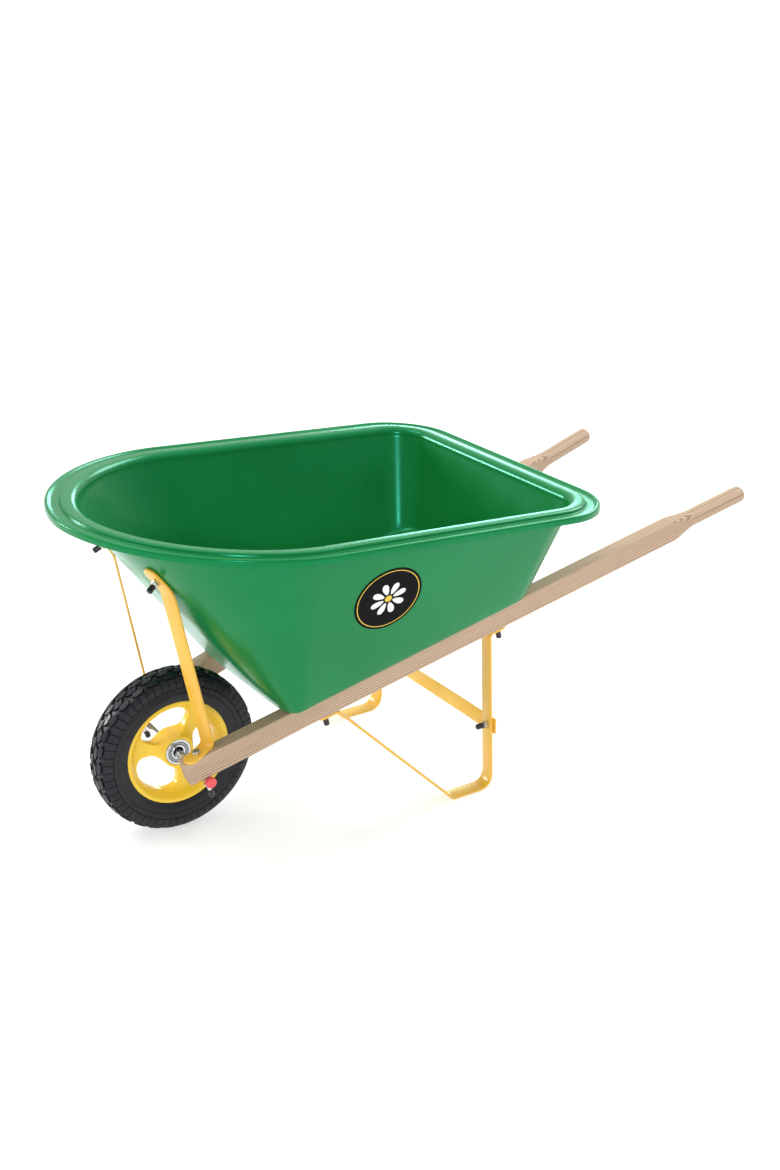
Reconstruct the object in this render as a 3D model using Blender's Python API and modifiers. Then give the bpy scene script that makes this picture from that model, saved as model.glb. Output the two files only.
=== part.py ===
"""Youth wheelbarrow: poly tub on two splayed wooden handles, strap-steel legs and braces, one wheel.

Metres, +Z up. The wheel is at -Y and the grips at +Y; the operator's left hand is at +X. The wheel
and both feet stand on z = 0. Everything is laid out from the wheel's centre line, x = y = 0, and
is slid along Y at the end so that the origin is the middle of the object's footprint.
"""

import bpy
import bmesh
from math import cos, pi, radians, sin, tan
from mathutils import Matrix, Vector

GAP = 0.0003                        # clearance between pieces that touch on the real object

# Wheel and axle
WHEEL_RADIUS = 0.127                # 10 inch wheel
TYRE_HALF_WIDTH = 0.026
RIM_RADIUS = 0.082
RIM_HALF_WIDTH = 0.021
AXLE_RADIUS = 0.00635               # half-inch rod
AXLE_HALF_LENGTH = 0.1260
AXLE_SAG = 0.00165                  # the loose axle rests on the lower side of the bearings' bore
BEARING_RADIUS = 0.020
BEARING_FACE_X = 0.0196
BEARING_WIDTH = 0.012
BEARING_BORE = AXLE_RADIUS + AXLE_SAG + GAP
BEARING_SHOULDER = 0.0166           # inside of the outer race
BEARING_COLLAR = 0.0113             # outside of the inner race
AXLE_CAP_RADIUS = 0.0082
AXLE_CAP_START = 0.1225             # just clear of the handle's outer face

# Windows in the wheel's web, as polar coordinates about the axle
WINDOW_COUNT = 3
WINDOW_ANGLE = radians(77.5)        # of the first window's middle
WINDOW_MIDDLE = 0.0463
WINDOW_HALF_DEPTH = 0.0212
WINDOW_HALF_ANGLE = radians(46.0)
WINDOW_POWER = 0.72                 # below 1 squares the window's corners off

# Handles: straight bars that splay outward and climb to the rear
HANDLE_LENGTH = 1.012
HANDLE_WIDTH = 0.0265
HANDLE_HEIGHT = 0.033
HANDLE_PITCH = radians(15.22)
HANDLE_SPLAY = radians(5.33)
HANDLE_X_AT_AXLE = 0.1084
HANDLE_OVER_HUB = 0.00665           # from the wheel's centre up to the underside's line
AXLE_SETBACK = 0.0267               # from the handle's front end to the axle bolt
HANDLE_FRONT_DEPTH = HANDLE_OVER_HUB + AXLE_SAG * cos(HANDLE_PITCH) - AXLE_RADIUS - GAP
HANDLE_DEEP_END = 0.100             # the front of the bar is that much deeper, to bear on the axle
AXLE_BOLT_ALONG = AXLE_SETBACK - AXLE_SAG * sin(HANDLE_PITCH)
GRIP_RADIUS = 0.0134
GRIP_CENTRE_HEIGHT = 0.0180
TAPER_START = 0.862
GRIP_START = 0.910

# Strap steel
STRAP_WIDTH = 0.0254
STRAP_THICKNESS = 0.0032

# Bolts
BOLT_RADIUS = 0.003175              # quarter-inch bolts
HOLE_RADIUS = BOLT_RADIUS + GAP
HEAD_RADIUS = 0.0068
HEAD_HEIGHT = 0.0036
NUT_FLAT_RADIUS = 0.0055
NUT_HEIGHT = 0.0055
CAP_RADIUS = 0.0048
CAP_LENGTH = 0.0115
CAP_END = 0.0022                    # thickness of the cap's closed end
AXLE_BOLT_STICKOUT = 0.0150         # from the axle's underside to the vinyl cap's mouth
FLOOR_SEAT = 0.0018                 # from the tray's floor up to the heads that hold it down

# Tray rim: a level-topped flange, seen in plan as a straight rear, straight sides and a round nose
RIM_HALF_WIDTH_X = 0.2850
RIM_REAR_Y = 0.6195
RIM_CORNER_RADIUS = 0.1037
RIM_NOSE_Y = 0.1253                 # where the straight sides end
RIM_NOSE_LENGTH = 0.2765
RIM_NOSE_POWER = 1.86
RIM_REAR_Z = 0.4692
RIM_SLOPE = -0.060                  # the rim climbs a little to the front
FLANGE_WIDTH = 0.047
WALL_TOP_DROP = 0.0110              # from the rim plane to where the flange meets the wall
FLANGE_SECTION = (                  # inset from the outer edge, height over the rim plane
    (0.0002, -0.0102), (0.0002, -0.0026), (0.0042, 0.0), (0.0138, -0.0032), (0.0206, -0.0031),
    (0.0310, 0.0013), (0.0385, 0.0008), (0.0445, -0.0040), (FLANGE_WIDTH, -WALL_TOP_DROP),
)
TRAY_WALL = 0.0032

# Steps round half of the tray's outline, and the outline's indices where its stretches begin
REAR_STEPS, CORNER_STEPS, SIDE_STEPS, NOSE_STEPS = 2, 6, 4, 13
OUTLINE_SIDE_INDEX = REAR_STEPS + CORNER_STEPS
OUTLINE_NOSE_INDEX = OUTLINE_SIDE_INDEX + SIDE_STEPS
OUTLINE_MIDDLE_INDEX = OUTLINE_NOSE_INDEX + NOSE_STEPS

# Tray floor, lying on the handles
FLOOR_HALF_WIDTH_FRONT = 0.1480
FLOOR_HALF_WIDTH_REAR = 0.1760
FLOOR_REAR_Y = 0.5340
FLOOR_CORNER_RADIUS = 0.036
FLOOR_NOSE_Y = 0.1630
FLOOR_NOSE_LENGTH = 0.0410
FLOOR_NOSE_POWER = 6.5
FLOOR_FILLET = 0.006
FILLET_STEPS = 2

# Legs and braces
LEG_FRONT_BOLT = 0.2235             # along the handle from its front end
LEG_REAR_BOLT = 0.5290
LEG_BOLT_TO_END = 0.0145            # the flanges end in a half circle
LEG_BOLT_TO_BEND = 0.0185
LEG_FOOT_X = 0.1645
LEG_FOOT_FRONT_Y = 0.390
LEG_FOOT_REAR_Y = 0.4655
CROSS_BRACE_Z = 0.1045
CROSS_BRACE_HALF_LENGTH = 0.1750
CROSS_BOLT_X = 0.1600
BRACE_TURN = radians(25.0)          # the brace foot is turned inward on the handle
BRACE_LOWER_BEND = 0.0235           # from the axle bolt to the bend
BRACE_HOLE_TO_END = 0.0240          # both ends of the brace are round beyond their holes
BRACE_BOLT_XZ = (0.0860, 0.4365)    # where the brace is bolted to the tray's nose
BRACE_BOLT_TO_BEND = 0.0210
BRACE_UPPER_RADIUS = 0.060
TAB_CLEARANCE = 0.0008              # between the flat tab and the curved wall it lies on

# Labels on the tray's sides
DECAL_RADIUS = 0.055
DECAL_THICKNESS = 0.0005
DECAL_STAND_OFF = 0.0014            # clear of the wall, which is slightly twisted
DECAL_Y = 0.2480
DECAL_FRACTION = 0.585              # height on the side wall, from floor to rim

SIDES = (("left", 1.0), ("right", -1.0))


# ---------------------------------------------------------------- scene and materials

for old in list(bpy.data.objects):
    bpy.data.objects.remove(old, do_unlink=True)
parts = bpy.data.collections.new("wheelbarrow")
cutters = bpy.data.collections.new("cutters")
bpy.context.scene.collection.children.link(parts)
bpy.context.scene.collection.children.link(cutters)


def material(name, colour, roughness, metallic=0.0):
    mat = bpy.data.materials.new(name)
    mat.use_nodes = True
    shader = mat.node_tree.nodes["Principled BSDF"]
    shader.inputs["Base Color"].default_value = (*colour, 1.0)
    shader.inputs["Roughness"].default_value = roughness
    shader.inputs["Metallic"].default_value = metallic
    return mat


GREEN_POLY = material("green_poly", (0.025, 0.26, 0.10), 0.35)
ASH_WOOD = material("ash_wood", (0.62, 0.43, 0.27), 0.6)
YELLOW_PAINT = material("yellow_paint", (0.75, 0.42, 0.05), 0.35)
YELLOW_PLASTIC = material("yellow_plastic", (0.85, 0.52, 0.03), 0.4)
RUBBER = material("tyre_rubber", (0.018, 0.019, 0.023), 0.8)
ZINC = material("zinc", (0.62, 0.63, 0.62), 0.3, 1.0)
BEARING_STEEL = material("bearing_steel", (0.7, 0.7, 0.72), 0.2, 1.0)
BLACK_SEAL = material("black_seal", (0.02, 0.02, 0.02), 0.5)
RED_PLASTIC = material("red_plastic", (0.75, 0.05, 0.06), 0.4)
BLACK_VINYL = material("black_vinyl", (0.012, 0.013, 0.016), 0.45)
DECAL_BLACK = material("decal_black", (0.01, 0.01, 0.01), 0.3)


# ---------------------------------------------------------------- building blocks

def add_mesh(name, build, mat, collection=parts, smooth_angle=30.0):
    """A named object whose mesh is filled in by build(bmesh)."""
    mesh = bpy.data.meshes.new(name)
    bm = bmesh.new()
    build(bm)
    bmesh.ops.recalc_face_normals(bm, faces=bm.faces)
    bm.to_mesh(mesh)
    bm.free()
    mesh.materials.append(mat)
    if mesh.polygons:
        mesh.shade_smooth()
        mesh.set_sharp_from_angle(angle=radians(smooth_angle))
    obj = bpy.data.objects.new(name, mesh)
    collection.objects.link(obj)
    return obj


def turned(name, profile, mat, segments=32, matrix=Matrix(), closed=False):
    """A profile of (radius, height) points turned about its local Z axis with a Screw modifier."""
    mesh = bpy.data.meshes.new(name)
    edges = [(i, i + 1) for i in range(len(profile) - 1)]
    if closed:
        edges.append((len(profile) - 1, 0))
    mesh.from_pydata([(radius, 0.0, height) for radius, height in profile], edges, [])
    mesh.materials.append(mat)
    obj = bpy.data.objects.new(name, mesh)
    parts.objects.link(obj)
    screw = obj.modifiers.new("turn", "SCREW")
    screw.axis = "Z"
    screw.angle = 2 * pi
    screw.steps = screw.render_steps = segments
    screw.use_merge_vertices = True
    screw.merge_threshold = 1e-5
    screw.use_smooth_shade = True
    obj.matrix_world = matrix
    return obj


def ring_profile(inner, outer, low, high):
    """A closed rectangular ring section, outer side first and running downward."""
    return [(outer, high), (outer, low), (inner, low), (inner, high)]


def frame_from(origin, z_axis, x_hint=Vector((1.0, 0.0, 0.0))):
    """A placement whose local Z runs along z_axis."""
    z = Vector(z_axis).normalized()
    y = z.cross(x_hint).normalized()
    x = y.cross(z)
    rotation = Matrix((x, y, z)).transposed().to_4x4()
    return Matrix.Translation(origin) @ rotation


def drill(matrix, low, high, radius, pieces, name):
    """Cut one round hole along the local Z axis of matrix through each of the pieces."""
    mesh = bpy.data.meshes.new(name)
    bm = bmesh.new()
    bmesh.ops.create_cone(bm, cap_ends=True, segments=12, radius1=radius, radius2=radius,
                          depth=high - low, matrix=Matrix.Translation((0, 0, (low + high) / 2)))
    bm.to_mesh(mesh)
    bm.free()
    cutter = bpy.data.objects.new(name, mesh)
    cutters.objects.link(cutter)
    cutter.matrix_world = matrix
    cutter.hide_render = True
    cutter.display_type = "WIRE"
    for piece in pieces:
        cut = piece.modifiers.new("hole", "BOOLEAN")
        cut.operation = "DIFFERENCE"
        cut.object = cutter


def handle_frame(side, along=0.0, height=0.0):
    """Placement on a handle: local Y runs to the grip, local Z is square to the top face.

    The origin is over the centre line of the bottom face, at a distance along from the front end.
    """
    rotation = Matrix.Rotation(-side * HANDLE_SPLAY, 4, "Z") @ Matrix.Rotation(HANDLE_PITCH, 4, "X")
    axle_on_handle = rotation @ Vector((0.0, AXLE_SETBACK, -HANDLE_OVER_HUB))
    front = Vector((side * HANDLE_X_AT_AXLE, 0.0, WHEEL_RADIUS)) - axle_on_handle
    return Matrix.Translation(front) @ rotation @ Matrix.Translation((0.0, along, height))


# ---------------------------------------------------------------- tray

def superellipse_point(half_x, half_y, power, turn):
    """The point of a superellipse's first quadrant whose normal is turned by an angle from X."""
    x_part, y_part = half_x * cos(turn), half_y * sin(turn)
    total = x_part ** (power / (power - 1)) + y_part ** (power / (power - 1))
    scale = total ** (-1 / power)
    root = 1 / (power - 1)
    return half_x * x_part ** root * scale, half_y * y_part ** root * scale


def outline(half_front, half_rear, rear_y, corner, nose_y, nose_length, power):
    """Plan outline from the middle of the rear edge round the +X side to the nose, mirrored back.

    Points with the same index have the same normal in every outline, so that the walls between two
    outlines are flat at the front and sides and conical at the corners.
    """
    points = [((half_rear - corner) * i / REAR_STEPS, rear_y) for i in range(REAR_STEPS)]
    for i in range(CORNER_STEPS + 1):
        a = (pi / 2) * i / CORNER_STEPS
        points.append((half_rear - corner + corner * sin(a), rear_y - corner + corner * cos(a)))
    for i in range(1, SIDE_STEPS):
        f = i / SIDE_STEPS
        points.append((half_rear + (half_front - half_rear) * f,
                       (rear_y - corner) * (1 - f) + nose_y * f))
    points.append((half_front, nose_y))
    for i in range(1, NOSE_STEPS):
        x, y = superellipse_point(half_front, nose_length, power, (pi / 2) * i / NOSE_STEPS)
        points.append((x, nose_y - y))
    points.append((0.0, nose_y - nose_length))
    return points + [(-x, y) for x, y in points[-2:0:-1]]


def rim_outline(inset):
    return outline(RIM_HALF_WIDTH_X - inset, RIM_HALF_WIDTH_X - inset, RIM_REAR_Y - inset,
                   RIM_CORNER_RADIUS - inset, RIM_NOSE_Y, RIM_NOSE_LENGTH - inset, RIM_NOSE_POWER)


def floor_outline(inset):
    return outline(FLOOR_HALF_WIDTH_FRONT - inset, FLOOR_HALF_WIDTH_REAR - inset,
                   FLOOR_REAR_Y - inset, FLOOR_CORNER_RADIUS - inset,
                   FLOOR_NOSE_Y, FLOOR_NOSE_LENGTH - inset, FLOOR_NOSE_POWER)


def rim_z(y):
    return RIM_REAR_Z + RIM_SLOPE * (y - RIM_REAR_Y)


def floor_z(y):
    """Height of the tray's inner floor, parallel to the tops of the handles."""
    top = handle_frame(1.0, 0.0, HANDLE_HEIGHT).translation
    slope = tan(HANDLE_PITCH) / cos(HANDLE_SPLAY)
    rest = 0.0008
    return top.z + slope * (y - top.y) + rest + TRAY_WALL / cos(HANDLE_PITCH)


def tray_rings():
    """Closed rings of the tray's inner skin, from the skirt over the flange and down to the floor."""
    rings = []
    for inset, height in FLANGE_SECTION:
        rings.append([Vector((x, y, rim_z(y) + height)) for x, y in rim_outline(inset)])
    top = rings[-1]
    bottom = [Vector((x, y, floor_z(y))) for x, y in floor_outline(0.0)]
    rings.append([t.lerp(b, 0.5) for t, b in zip(top, bottom)])
    for i in range(FILLET_STEPS + 1):
        a = (pi / 2) * i / FILLET_STEPS
        inner = [Vector((x, y, floor_z(y))) for x, y in floor_outline(FLOOR_FILLET * (1 - cos(a)))]
        lift = FLOOR_FILLET * (1 - sin(a))
        rings.append([p + (t - b).normalized() * lift for p, t, b in zip(inner, top, bottom)])
    return rings


def wall_point(index, fraction):
    """A point on the inner side wall: outline index, and height fraction from floor to rim."""
    rim = rim_outline(FLANGE_WIDTH)[index]
    floor = floor_outline(0.0)[index]
    top = Vector((rim[0], rim[1], rim_z(rim[1]) - WALL_TOP_DROP))
    return Vector((floor[0], floor[1], floor_z(floor[1]))).lerp(top, fraction)


def build_tray():
    """The tub: rings joined by quads, closed by a flat floor, and given its wall by Solidify."""
    mesh = bpy.data.meshes.new("tray")
    bm = bmesh.new()
    rings = [[bm.verts.new(point) for point in ring] for ring in tray_rings()]
    for upper, lower in zip(rings, rings[1:]):
        for i in range(len(upper)):
            j = (i + 1) % len(upper)
            bm.faces.new((upper[i], upper[j], lower[j], lower[i]))
    floor = bm.faces.new(rings[-1])
    bmesh.ops.recalc_face_normals(bm, faces=bm.faces)
    floor.normal_update()
    if floor.normal.z < 0:
        bmesh.ops.reverse_faces(bm, faces=bm.faces)
    bm.to_mesh(mesh)
    bm.free()
    mesh.materials.append(GREEN_POLY)
    mesh.shade_smooth()
    obj = bpy.data.objects.new("tray", mesh)
    parts.objects.link(obj)
    shell = obj.modifiers.new("wall", "SOLIDIFY")
    shell.thickness = TRAY_WALL
    shell.offset = -1.0
    shell.use_even_offset = True
    return obj


def front_wall(x, z):
    """Outer face of the tray's nose at one x and height: the point, its normal and the way up."""
    nose = range(OUTLINE_NOSE_INDEX, OUTLINE_MIDDLE_INDEX + 1)
    level = []
    for index in nose:
        low, high = wall_point(index, 0.0), wall_point(index, 1.0)
        level.append((low.lerp(high, (z - low.z) / (high.z - low.z)), (high - low).normalized()))
    for (first, rise), (second, _) in zip(level, level[1:]):
        if first.x >= x > second.x:
            point = first.lerp(second, (first.x - x) / (first.x - second.x))
            normal = (second - first).cross(rise).normalized()
            if normal.y > 0:
                normal.negate()
            return point + normal * TRAY_WALL, normal, rise


def mirrored(vector, side):
    return Vector((vector.x * side, vector.y, vector.z))


def build_decals():
    """Round labels that follow the side walls, one on each side."""
    index = OUTLINE_SIDE_INDEX + 2
    low, high = wall_point(index, 0.0), wall_point(index, 1.0)
    front, rear = wall_point(index + 1, DECAL_FRACTION), wall_point(index - 1, DECAL_FRACTION)
    centre = front.lerp(rear, (DECAL_Y - front.y) / (rear.y - front.y))
    normal = (rear - front).cross(high - low).normalized()
    if normal.x < 0:
        normal.negate()
    centre += normal * (TRAY_WALL + DECAL_STAND_OFF)
    for side_name, side in SIDES:
        place = frame_from(mirrored(centre, side), mirrored(normal, side), Vector((0.0, 1.0, 0.0)))
        half = DECAL_THICKNESS / 2
        profile = [(0.0, half), (DECAL_RADIUS, half), (DECAL_RADIUS, -half), (0.0, -half)]
        turned("decal_" + side_name, profile, DECAL_BLACK, 40, place)


# ---------------------------------------------------------------- handles

def handle_sections():
    """Stations along a handle: distance, half width, half height, centre height, squareness."""
    half_w, half_h = HANDLE_WIDTH / 2, HANDLE_HEIGHT / 2
    deeper = HANDLE_FRONT_DEPTH / 2
    sections = [(0.0, half_w, half_h + deeper, half_h - deeper, 14.0),
                (HANDLE_DEEP_END, half_w, half_h + deeper, half_h - deeper, 14.0),
                (HANDLE_DEEP_END + 0.09, half_w, half_h, half_h, 14.0),
                (TAPER_START, half_w, half_h, half_h, 14.0)]
    for i in range(1, 4):
        f = i / 4
        ease = f * f * (3 - 2 * f)
        sections.append((TAPER_START + (GRIP_START - TAPER_START) * f,
                         half_w + (GRIP_RADIUS - half_w) * ease,
                         half_h + (GRIP_RADIUS - half_h) * ease,
                         half_h + (GRIP_CENTRE_HEIGHT - half_h) * ease,
                         14.0 + (2.0 - 14.0) * ease ** 0.5))
    sections.append((GRIP_START, GRIP_RADIUS, GRIP_RADIUS, GRIP_CENTRE_HEIGHT, 2.0))
    round_start = HANDLE_LENGTH - GRIP_RADIUS * 0.7
    for i in range(4):
        a = (pi / 2) * i / 3.6
        sections.append((round_start + GRIP_RADIUS * 0.7 * sin(a), GRIP_RADIUS * cos(a),
                         GRIP_RADIUS * cos(a), GRIP_CENTRE_HEIGHT, 2.0))
    return sections


def section_ring(distance, half_w, half_h, centre, power, count=16):
    points = []
    for i in range(count):
        a = 2 * pi * (i + 0.5) / count
        c, s = cos(a), sin(a)
        x = half_w * abs(c) ** (2 / power) * (1 if c > 0 else -1)
        z = half_h * abs(s) ** (2 / power) * (1 if s > 0 else -1)
        points.append((x, distance, centre + z))
    return points


def build_handle(side_name, side):
    def fill(bm):
        rings = [[bm.verts.new(p) for p in section_ring(*section)] for section in handle_sections()]
        for first, second in zip(rings, rings[1:]):
            for i in range(len(first)):
                j = (i + 1) % len(first)
                bm.faces.new((first[i], first[j], second[j], second[i]))
        bm.faces.new(rings[0])
        bm.faces.new(rings[-1])

    handle = add_mesh("handle_" + side_name, fill, ASH_WOOD)
    handle.matrix_world = handle_frame(side)
    return handle


# ---------------------------------------------------------------- strap steel

def rounded_path(corners, radii, steps=5):
    """Points along straight runs between corners, with each inner corner rounded to its radius."""
    points = [corners[0]]
    for before, corner, after, radius in zip(corners, corners[1:], corners[2:], radii):
        into, out = (corner - before).normalized(), (after - corner).normalized()
        turn = into.angle(out)
        reach = radius * tan(turn / 2)
        start, end = corner - into * reach, corner + out * reach
        for i in range(steps + 1):
            f = i / steps
            points.append(start.lerp(corner, f).lerp(corner.lerp(end, f), f))
    points.append(corners[-1])
    return points


def build_strap(name, points, widths, round_start=False, round_end=False):
    """A flat strap: a strip along points, as wide as STRAP_WIDTH along widths, given its thickness.

    widths holds one width direction per point. A rounded end is a half circle of the strap's width.
    """
    half = STRAP_WIDTH / 2
    stations = [(point, Vector(width), half) for point, width in zip(points, widths)]
    arc = [(pi / 2) * i / 5 for i in range(5)]

    def end_stations(tip, inner, width):
        direction = (tip - inner).normalized()
        centre = tip - direction * half
        return [(centre + direction * half * sin(a), width, half * cos(a)) for a in arc] \
            + [(tip - direction * half * 0.004, width, half * 0.09)]

    if round_end:
        stations = stations[:-1] + end_stations(points[-1], points[-2], Vector(widths[-1]))
    if round_start:
        stations = end_stations(points[0], points[1], Vector(widths[0]))[::-1] + stations[1:]

    def fill(bm):
        rows = []
        for centre, width, reach in stations:
            w = width.normalized() * reach
            rows.append((bm.verts.new(centre - w), bm.verts.new(centre + w)))
        for (a, b), (c, d) in zip(rows, rows[1:]):
            bm.faces.new((a, b, d, c))

    strap = add_mesh(name, fill, YELLOW_PAINT)
    thick = strap.modifiers.new("thickness", "SOLIDIFY")
    thick.thickness = STRAP_THICKNESS
    thick.offset = 0.0
    thick.use_even_offset = True
    return strap


def build_leg(side_name, side):
    """One bent strap: front flange, diagonal, flat foot, upright and rear flange."""
    under = -(GAP + STRAP_THICKNESS / 2)
    flange = [handle_frame(side, along, under).translation
              for along in (LEG_FRONT_BOLT - LEG_BOLT_TO_END, LEG_FRONT_BOLT + LEG_BOLT_TO_BEND,
                            LEG_REAR_BOLT - LEG_BOLT_TO_BEND, LEG_REAR_BOLT + LEG_BOLT_TO_END)]
    sole = STRAP_THICKNESS / 2
    foot = [Vector((side * LEG_FOOT_X, LEG_FOOT_FRONT_Y, sole)),
            Vector((side * LEG_FOOT_X, LEG_FOOT_REAR_Y - sole, sole))]
    corners = [flange[0], flange[1], foot[0], foot[1], flange[2], flange[3]]
    points = rounded_path(corners, (0.008, 0.010, 0.024, 0.007))
    across = (cos(HANDLE_SPLAY), -side * sin(HANDLE_SPLAY), 0.0)
    return build_strap("leg_" + side_name, points, [across] * len(points), True, True)


def brace_tab(side):
    """Upper brace bolt on the tray: the point on the wall's outer face, the normal and the way up."""
    return [mirrored(vector, side) for vector in front_wall(*BRACE_BOLT_XZ)]


def brace_path(side):
    """Corners of a front brace and the width direction of its foot, rise and upper tab."""
    top = HANDLE_HEIGHT + GAP + STRAP_THICKNESS / 2
    foot = handle_frame(side, AXLE_SETBACK, top) @ Matrix.Rotation(side * BRACE_TURN, 4, "Z")
    toe = foot @ Vector((0.0, -BRACE_HOLE_TO_END, 0.0))
    lower = foot @ Vector((0.0, BRACE_LOWER_BEND, 0.0))
    wall, normal, up_wall = brace_tab(side)
    bolt = wall + normal * (TAB_CLEARANCE + STRAP_THICKNESS / 2)
    upper = bolt - up_wall * BRACE_BOLT_TO_BEND
    tab_end = bolt + up_wall * BRACE_HOLE_TO_END
    rise = (upper - lower).normalized()
    foot_width = (foot.to_3x3() @ Vector((1.0, 0.0, 0.0))).normalized()
    tab_width = up_wall.cross(normal).normalized()
    if tab_width.dot(foot_width) < 0:
        tab_width.negate()
    rise_width = foot_width - rise * foot_width.dot(rise)
    return (toe, lower, upper, tab_end), (foot_width, rise_width.normalized(), tab_width)


def build_front_brace(side_name, side):
    """Strap from a flat foot on the handle up to a tab that lies on the tray's nose."""
    corners, (foot_width, rise_width, tab_width) = brace_path(side)
    steps = 6
    points = rounded_path(corners, (0.008, BRACE_UPPER_RADIUS), steps)
    lower_turn = [foot_width.lerp(rise_width, i / steps) for i in range(steps + 1)]
    upper_turn = [rise_width.lerp(tab_width, i / steps) for i in range(steps + 1)]
    directions = [foot_width] + lower_turn + upper_turn + [tab_width]
    return build_strap("front_brace_" + side_name, points, directions, True, True)


def build_cross_brace():
    y = LEG_FOOT_REAR_Y + GAP * 4 + STRAP_THICKNESS / 2
    ends = [Vector((x, y, CROSS_BRACE_Z)) for x in (-CROSS_BRACE_HALF_LENGTH, CROSS_BRACE_HALF_LENGTH)]
    return build_strap("leg_cross_brace", ends, [Vector((0.0, 0.0, 1.0))] * 2)


# ---------------------------------------------------------------- wheel

def build_wheel():
    """Tyre, rim and bearings; everything that spins hangs from an empty on the axle line."""
    axis = bpy.data.objects.new("wheel_axis", None)
    axis.matrix_world = Matrix.Translation((0.0, 0.0, WHEEL_RADIUS)) @ Matrix.Rotation(pi / 2, 4, "Y")
    parts.objects.link(axis)
    bpy.context.view_layer.update()

    tyre = turned("tyre", tyre_profile(), RUBBER, 48, closed=True)
    rim = turned("wheel_rim", rim_profile(), YELLOW_PLASTIC, 48, closed=True)
    for i in range(WINDOW_COUNT):
        cut_window(rim, i)
    spinning = [tyre, rim]
    for side_name, side in SIDES:
        low, high = sorted((side * (BEARING_FACE_X - BEARING_WIDTH), side * BEARING_FACE_X))
        races = (("bearing_outer_", BEARING_SHOULDER, BEARING_RADIUS, 0.0, BEARING_STEEL),
                 ("bearing_seal_", BEARING_COLLAR + GAP, BEARING_SHOULDER - GAP, 0.0006, BLACK_SEAL),
                 ("bearing_inner_", BEARING_BORE, BEARING_COLLAR, 0.0, BEARING_STEEL))
        for stem, inside, outside, recess, mat in races:
            profile = ring_profile(inside, outside, low + recess, high - recess)
            piece = turned(stem + side_name, profile, mat, 28, closed=True)
            if stem == "bearing_inner_":
                piece.matrix_world = axis.matrix_world
            else:
                spinning.append(piece)
    for piece in spinning:
        piece.parent = axis
        piece.matrix_parent_inverse = Matrix()
        piece.matrix_basis = Matrix()


def tyre_profile():
    """Section of the solid tyre as (radius, distance from the middle plane)."""
    seat = RIM_RADIUS - 0.0017
    half = [(WHEEL_RADIUS, 0.0), (WHEEL_RADIUS - 0.0005, 0.011), (WHEEL_RADIUS - 0.0065, 0.0230),
            (WHEEL_RADIUS - 0.019, TYRE_HALF_WIDTH), (RIM_RADIUS + 0.013, TYRE_HALF_WIDTH - 0.0008),
            (RIM_RADIUS + GAP, 0.0215), (RIM_RADIUS + GAP, 0.0180), (seat + GAP, 0.0180)]
    other_half = [(radius, -across) for radius, across in half[1:]]
    return half[::-1] + other_half


def rim_profile():
    """Section of the dished rim from the bearing seat out to the flanges."""
    seat = RIM_RADIUS - 0.0017
    half = [(seat, 0.0), (seat, 0.0184), (RIM_RADIUS, 0.0187), (RIM_RADIUS, RIM_HALF_WIDTH),
            (0.0745, RIM_HALF_WIDTH - 0.0006), (0.0715, 0.0180), (0.0680, 0.0125), (0.0600, 0.0078),
            (0.0440, 0.0072), (0.0340, 0.0105), (0.0270, 0.0165), (0.0235, BEARING_FACE_X + 0.0002),
            (BEARING_RADIUS + GAP, BEARING_FACE_X + 0.0002)]
    other_half = [(radius, -across) for radius, across in half[1:]]
    return half[::-1] + other_half


def squared_off(value):
    """Push a point of the unit circle outward, one coordinate at a time, towards a square."""
    return abs(value) ** WINDOW_POWER * (1.0 if value > 0 else -1.0)


def cut_window(rim, number):
    """One opening in the rim's web, a sector with round corners, cut straight through."""
    angle = WINDOW_ANGLE + 2 * pi * number / WINDOW_COUNT
    mesh = bpy.data.meshes.new("window_cutter")
    bm = bmesh.new()
    bmesh.ops.create_cone(bm, cap_ends=True, segments=24, radius1=1.0, radius2=1.0, depth=0.06)
    for vert in bm.verts:
        around, outward = squared_off(vert.co.x), squared_off(vert.co.y)
        r = WINDOW_MIDDLE + WINDOW_HALF_DEPTH * outward
        spread = -WINDOW_HALF_ANGLE * around
        vert.co.x, vert.co.y = r * cos(angle + spread), r * sin(angle + spread)
    bm.to_mesh(mesh)
    bm.free()
    cutter = bpy.data.objects.new("window_cutter", mesh)
    cutters.objects.link(cutter)
    cutter.hide_render = True
    cutter.display_type = "WIRE"
    cutter.matrix_world = Matrix.Translation((0.0, 0.0, WHEEL_RADIUS)) @ Matrix.Rotation(pi / 2, 4, "Y")
    cut = rim.modifiers.new("window", "BOOLEAN")
    cut.operation = "DIFFERENCE"
    cut.object = cutter


def build_axle():
    """The rod and the plastic cups over its ends."""
    centre = Matrix.Translation((0.0, 0.0, WHEEL_RADIUS - AXLE_SAG))
    half, chamfer = AXLE_HALF_LENGTH, 0.0006
    profile = [(0.0, half), (AXLE_RADIUS - chamfer, half), (AXLE_RADIUS, half - chamfer),
               (AXLE_RADIUS, -half + chamfer), (AXLE_RADIUS - chamfer, -half), (0.0, -half)]
    axle = turned("axle", profile, ZINC, 24, centre @ Matrix.Rotation(pi / 2, 4, "Y"))
    inner, outer, end = AXLE_RADIUS + GAP, AXLE_CAP_RADIUS, half + 0.0025
    cup = [(0.0, end), (outer - 0.0022, end), (outer - 0.0006, end - 0.0010), (outer, end - 0.003),
           (outer, AXLE_CAP_START), (inner, AXLE_CAP_START), (inner, half + GAP), (0.0, half + GAP)]
    for side_name, side in SIDES:
        turn = Matrix.Rotation(side * pi / 2, 4, "Y")
        turned("axle_cap_" + side_name, cup, RED_PLASTIC, 20, centre @ turn)
    return axle


# ---------------------------------------------------------------- fasteners

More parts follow.
